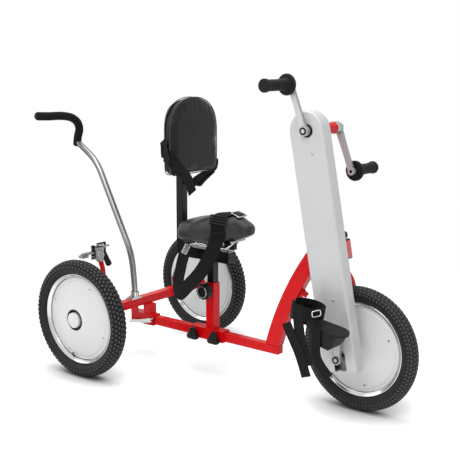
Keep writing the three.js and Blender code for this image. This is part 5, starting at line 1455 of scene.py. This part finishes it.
def saddleBelt():
    """The loop and a narrower second strap, the buckle, the belt's sliders and what is under the saddle."""
    straps = [strapShell(beltStops, beltFaces, **beltSize),
              strapShell(secondStops, [(-0.15, -1, 0)] * len(secondStops), **secondSize)]
    band("look_saddle_belt", straps, "saddle", ("saddle_belt",))
    buckle()
    slider = ladder(onBelt(beltCrest[3][0], 1.5), 27, 16, 4, 3.6, 2.3)
    piece("look_belt_slider", slider, "blackPlastic", "saddle")
    keeper = moved(box(-7, 7, -25.5, 25.5, 0, 2.6, 1.0), onBelt(beltCrest[1][0], 1.5))
    piece("look_belt_keeper", keeper, "webbing", "saddle")
    adjuster = ladder(onBelt(adjusterNear, 1.4), 10, 17, 6, 3.4, 1.5)
    piece("look_belt_adjuster", adjuster, "chrome", "saddle")
    clamp = [box(368, 399, -16, 16, 432.6, 436.4, 0.8), box(364, 369, -16, 16, 432.6, 449, 0.8)]
    piece("look_rail_clamp", clamp, "chrome", "saddle")
    piece("look_saddle_block", box(374, 414, -11, 11, 442, 474, 3.0), "blackPlastic", "saddle")


saddleBelt()


def chestStraps():
    """The right half comes round the pad's edge and over its corner; the left half hangs as a flat loop."""
    back = 199.1
    side = -124.9
    front = padFront + 3.4
    stops = [(back, -60, 776), (back, -110, 774), (back + 2, side - 5, 773), (back + 10, side - 4, 771),
             (back + 20, side - 0.5, 764), (back + 34, side - 0.3, 752), (front - 2.5, side + 5, 742),
             (front, side + 19, 728), (front, -84, 707), (front, -61, 688), (front - 1, -44, 671),
             (front - 3, -33, 655), (front - 5, -25, 640), (front - 6, -17, 622)]
    faces = [(-1, 0, 0), (-1, 0, 0), (-0.9, -0.4, 0), (0, -1, 0), (0, -1, 0), (0.1, -1, 0), (0.7, -0.7, 0),
             (1, -0.1, 0)] + [(1, 0, 0)] * 6
    fold = [(back + 4, side - 1, 806), (back + 14, side - 4.5, 790), (back + 20, side - 4.8, 772),
            (back + 24, side - 2.4, 752), (back + 20, side - 1.6, 734)]
    straps = [strapShell(stops, faces, 41, 2.6, 150), strapShell(fold, [(-0.2, -1, 0)] * 5, 30, 2.4, 50)]
    band("look_chest_strap_right", straps, "back_rest", ("chest_strap_right",))
    x = 222.0
    low = padBottom - 1.9
    stops = [(x, 126.4, low + 40), (x, 126.4, low + 24), (x, 118, low + 5), (x, 100, low - 2),
             (x, 76, low - 5), (x, 34, low - 18), (x, 14, low - 30), (x, 16, low - 42), (x, 32, low - 46),
             (x, 54, low - 33), (x, 82, low - 18), (x - 4, 106, low - 8), (x - 12, 119, low - 2)]
    faces = [(0, 1, 0), (0, 1, 0), (0, 0.7, -0.7), (0, 0, -1), (0, -0.2, -1), (0, -0.2, -1), (0, 0.6, -0.6),
             (0, 1, 0.2), (0, 0, 1), (0, -0.3, 1), (0, -0.2, 1), (0, 0, 1), (0, -0.2, 1)]
    straps = [strapShell(stops, faces, 32, 2.6, 110)]
    band("look_chest_strap_left", straps, "back_rest", ("chest_strap_left",))


chestStraps()


# Foot cuffs, drawn about the pedal pin

cuff = {"centre": -89.0, "long": 52.0, "wide": 39.5, "lift": 58.5, "tip": 2.0, "width": 36.0, "top": 62.0,
        "gap": 0.36, "leftTails": 0.42, "ringLean": math.radians(16)}
cuffTails = [
    # the long end that starts free, the strap that comes down from the cuff, and the one before it
    ([(-127.6, 45.5, 11), (-101.1, 45.5, -22.4), (-72.7, 45.5, -56.5), (-50, 45.5, -89.6),
      (-28.4, 45.5, -126.2)], 34),
    ([(-103, 38.5, 76), (-90, 40.5, 27), (-73, 42.5, -18), (-51, 43, -55), (-30, 43, -91)], 36),
    ([(-27, 40, 30), (-18.7, 40.5, -20), (-8.3, 41, -54), (13.8, 41, -77), (44.1, 41, -98)], 30),
]


def turnLoop(loop, angle):
    """A flat loop turned by an angle: x cos a + y sin a, y cos a - x sin a."""
    return np.column_stack([loop[:, 0] * math.cos(angle) + loop[:, 1] * math.sin(angle),
                            -loop[:, 0] * math.sin(angle) + loop[:, 1] * math.cos(angle)])


def cuffRing(side):
    """A small wire ring on the cuff's front: a circle carried round a rounded oblong, leaned a little."""
    c = cuff
    loop = rounded([(-13, -9), (13, -9), (13, 9), (-13, 9)], 5, 6, closed=True)
    loop = turnLoop(loop, c["ringLean"])
    outward = np.array([0.8, side * 0.6, 0.0])
    aside = np.array([-side * 0.6, 0.8, 0.0]) * side
    seat = np.array([c["centre"] + c["long"] * 0.8, side * c["wide"] * 0.6, c["lift"] + 8.0])
    middle = seat + outward * 4.6
    ring = middle + loop[:, :1] * aside + loop[:, 1:] * np.array([0, 0, 1.0])
    outwards = np.tile(outward, (len(ring), 1))
    return shell(carried(ring, circle(1.9, 10), unit(ring - middle), outwards), wrapRows=True)


def footCuff(side):
    """A tilted ring of webbing over the heel cup, with three loose tails, and a small wire ring on it."""
    label = sideName(side)
    body = "foot_pedal_" + label
    angle = armTurn(footCrankAngle, side)
    face = footFaceLeft if side > 0 else crankFaceRight
    pin = np.array([wheelbase - footCrankLength * math.sin(angle), face + side * 50.0,
                    frontRadius + footCrankLength * math.cos(angle)])
    place = lambda p: turnY(p, -pedalTilt) + pin
    c = cuff
    # the ring stays open by a small gap at its rear
    turns = np.linspace(0, 2 * math.pi - c["gap"], 26) + math.pi + c["gap"] / 2
    stops = [(c["centre"] + c["long"] * math.cos(t), c["wide"] * math.sin(t),
              c["lift"] + c["tip"] * math.cos(t)) for t in turns]
    faces = [(math.cos(t), math.sin(t), 0) for t in turns]
    straps = [strapShell(stops, faces, c["width"], 3.0, 150)]
    # the left cuff's tails are shorter
    reach = 1.0 if side < 0 else c["leftTails"]
    for stops, width in cuffTails:
        shown = [(x, side * y, c["top"] + (z - c["top"]) * reach) for x, y, z in stops]
        straps.append(strapShell(shown, [(0, side, 0)] * len(shown), width, 2.3, 70))
    band("look_foot_cuff_" + label, straps, body, ("foot_cuff_" + label,), place)
    piece("look_cuff_ring_" + label, moved(cuffRing(side), place), "chrome", body)


footCuff(-1)
footCuff(1)
print("webbing done")


# A silver ring on the post knob, and pale screws on the sleeve knobs

postKnobPlace = (311.0, 0, 290.0)
sleeveKnobPlaces = {"rear": (254.0, 0, 125.0), "front": (347.0, 0, 125.0)}
knobRing = faceRing(21.6, 17.8, -55.6, -53.4)
piece("look_knob_ring", placed(knobRing, postKnobPlace), "chrome", "seat_post_knob")
knobScrew = turned([(6.2, -41.0), (6.2, -42.6), (4.8, -43.4), (1.8, -43.6)], 0.5, 3, 24)
for label, place in sleeveKnobPlaces.items():
    piece("look_knob_screw_" + label, placed(knobScrew, place), "steel", "sleeve_knob_" + label)
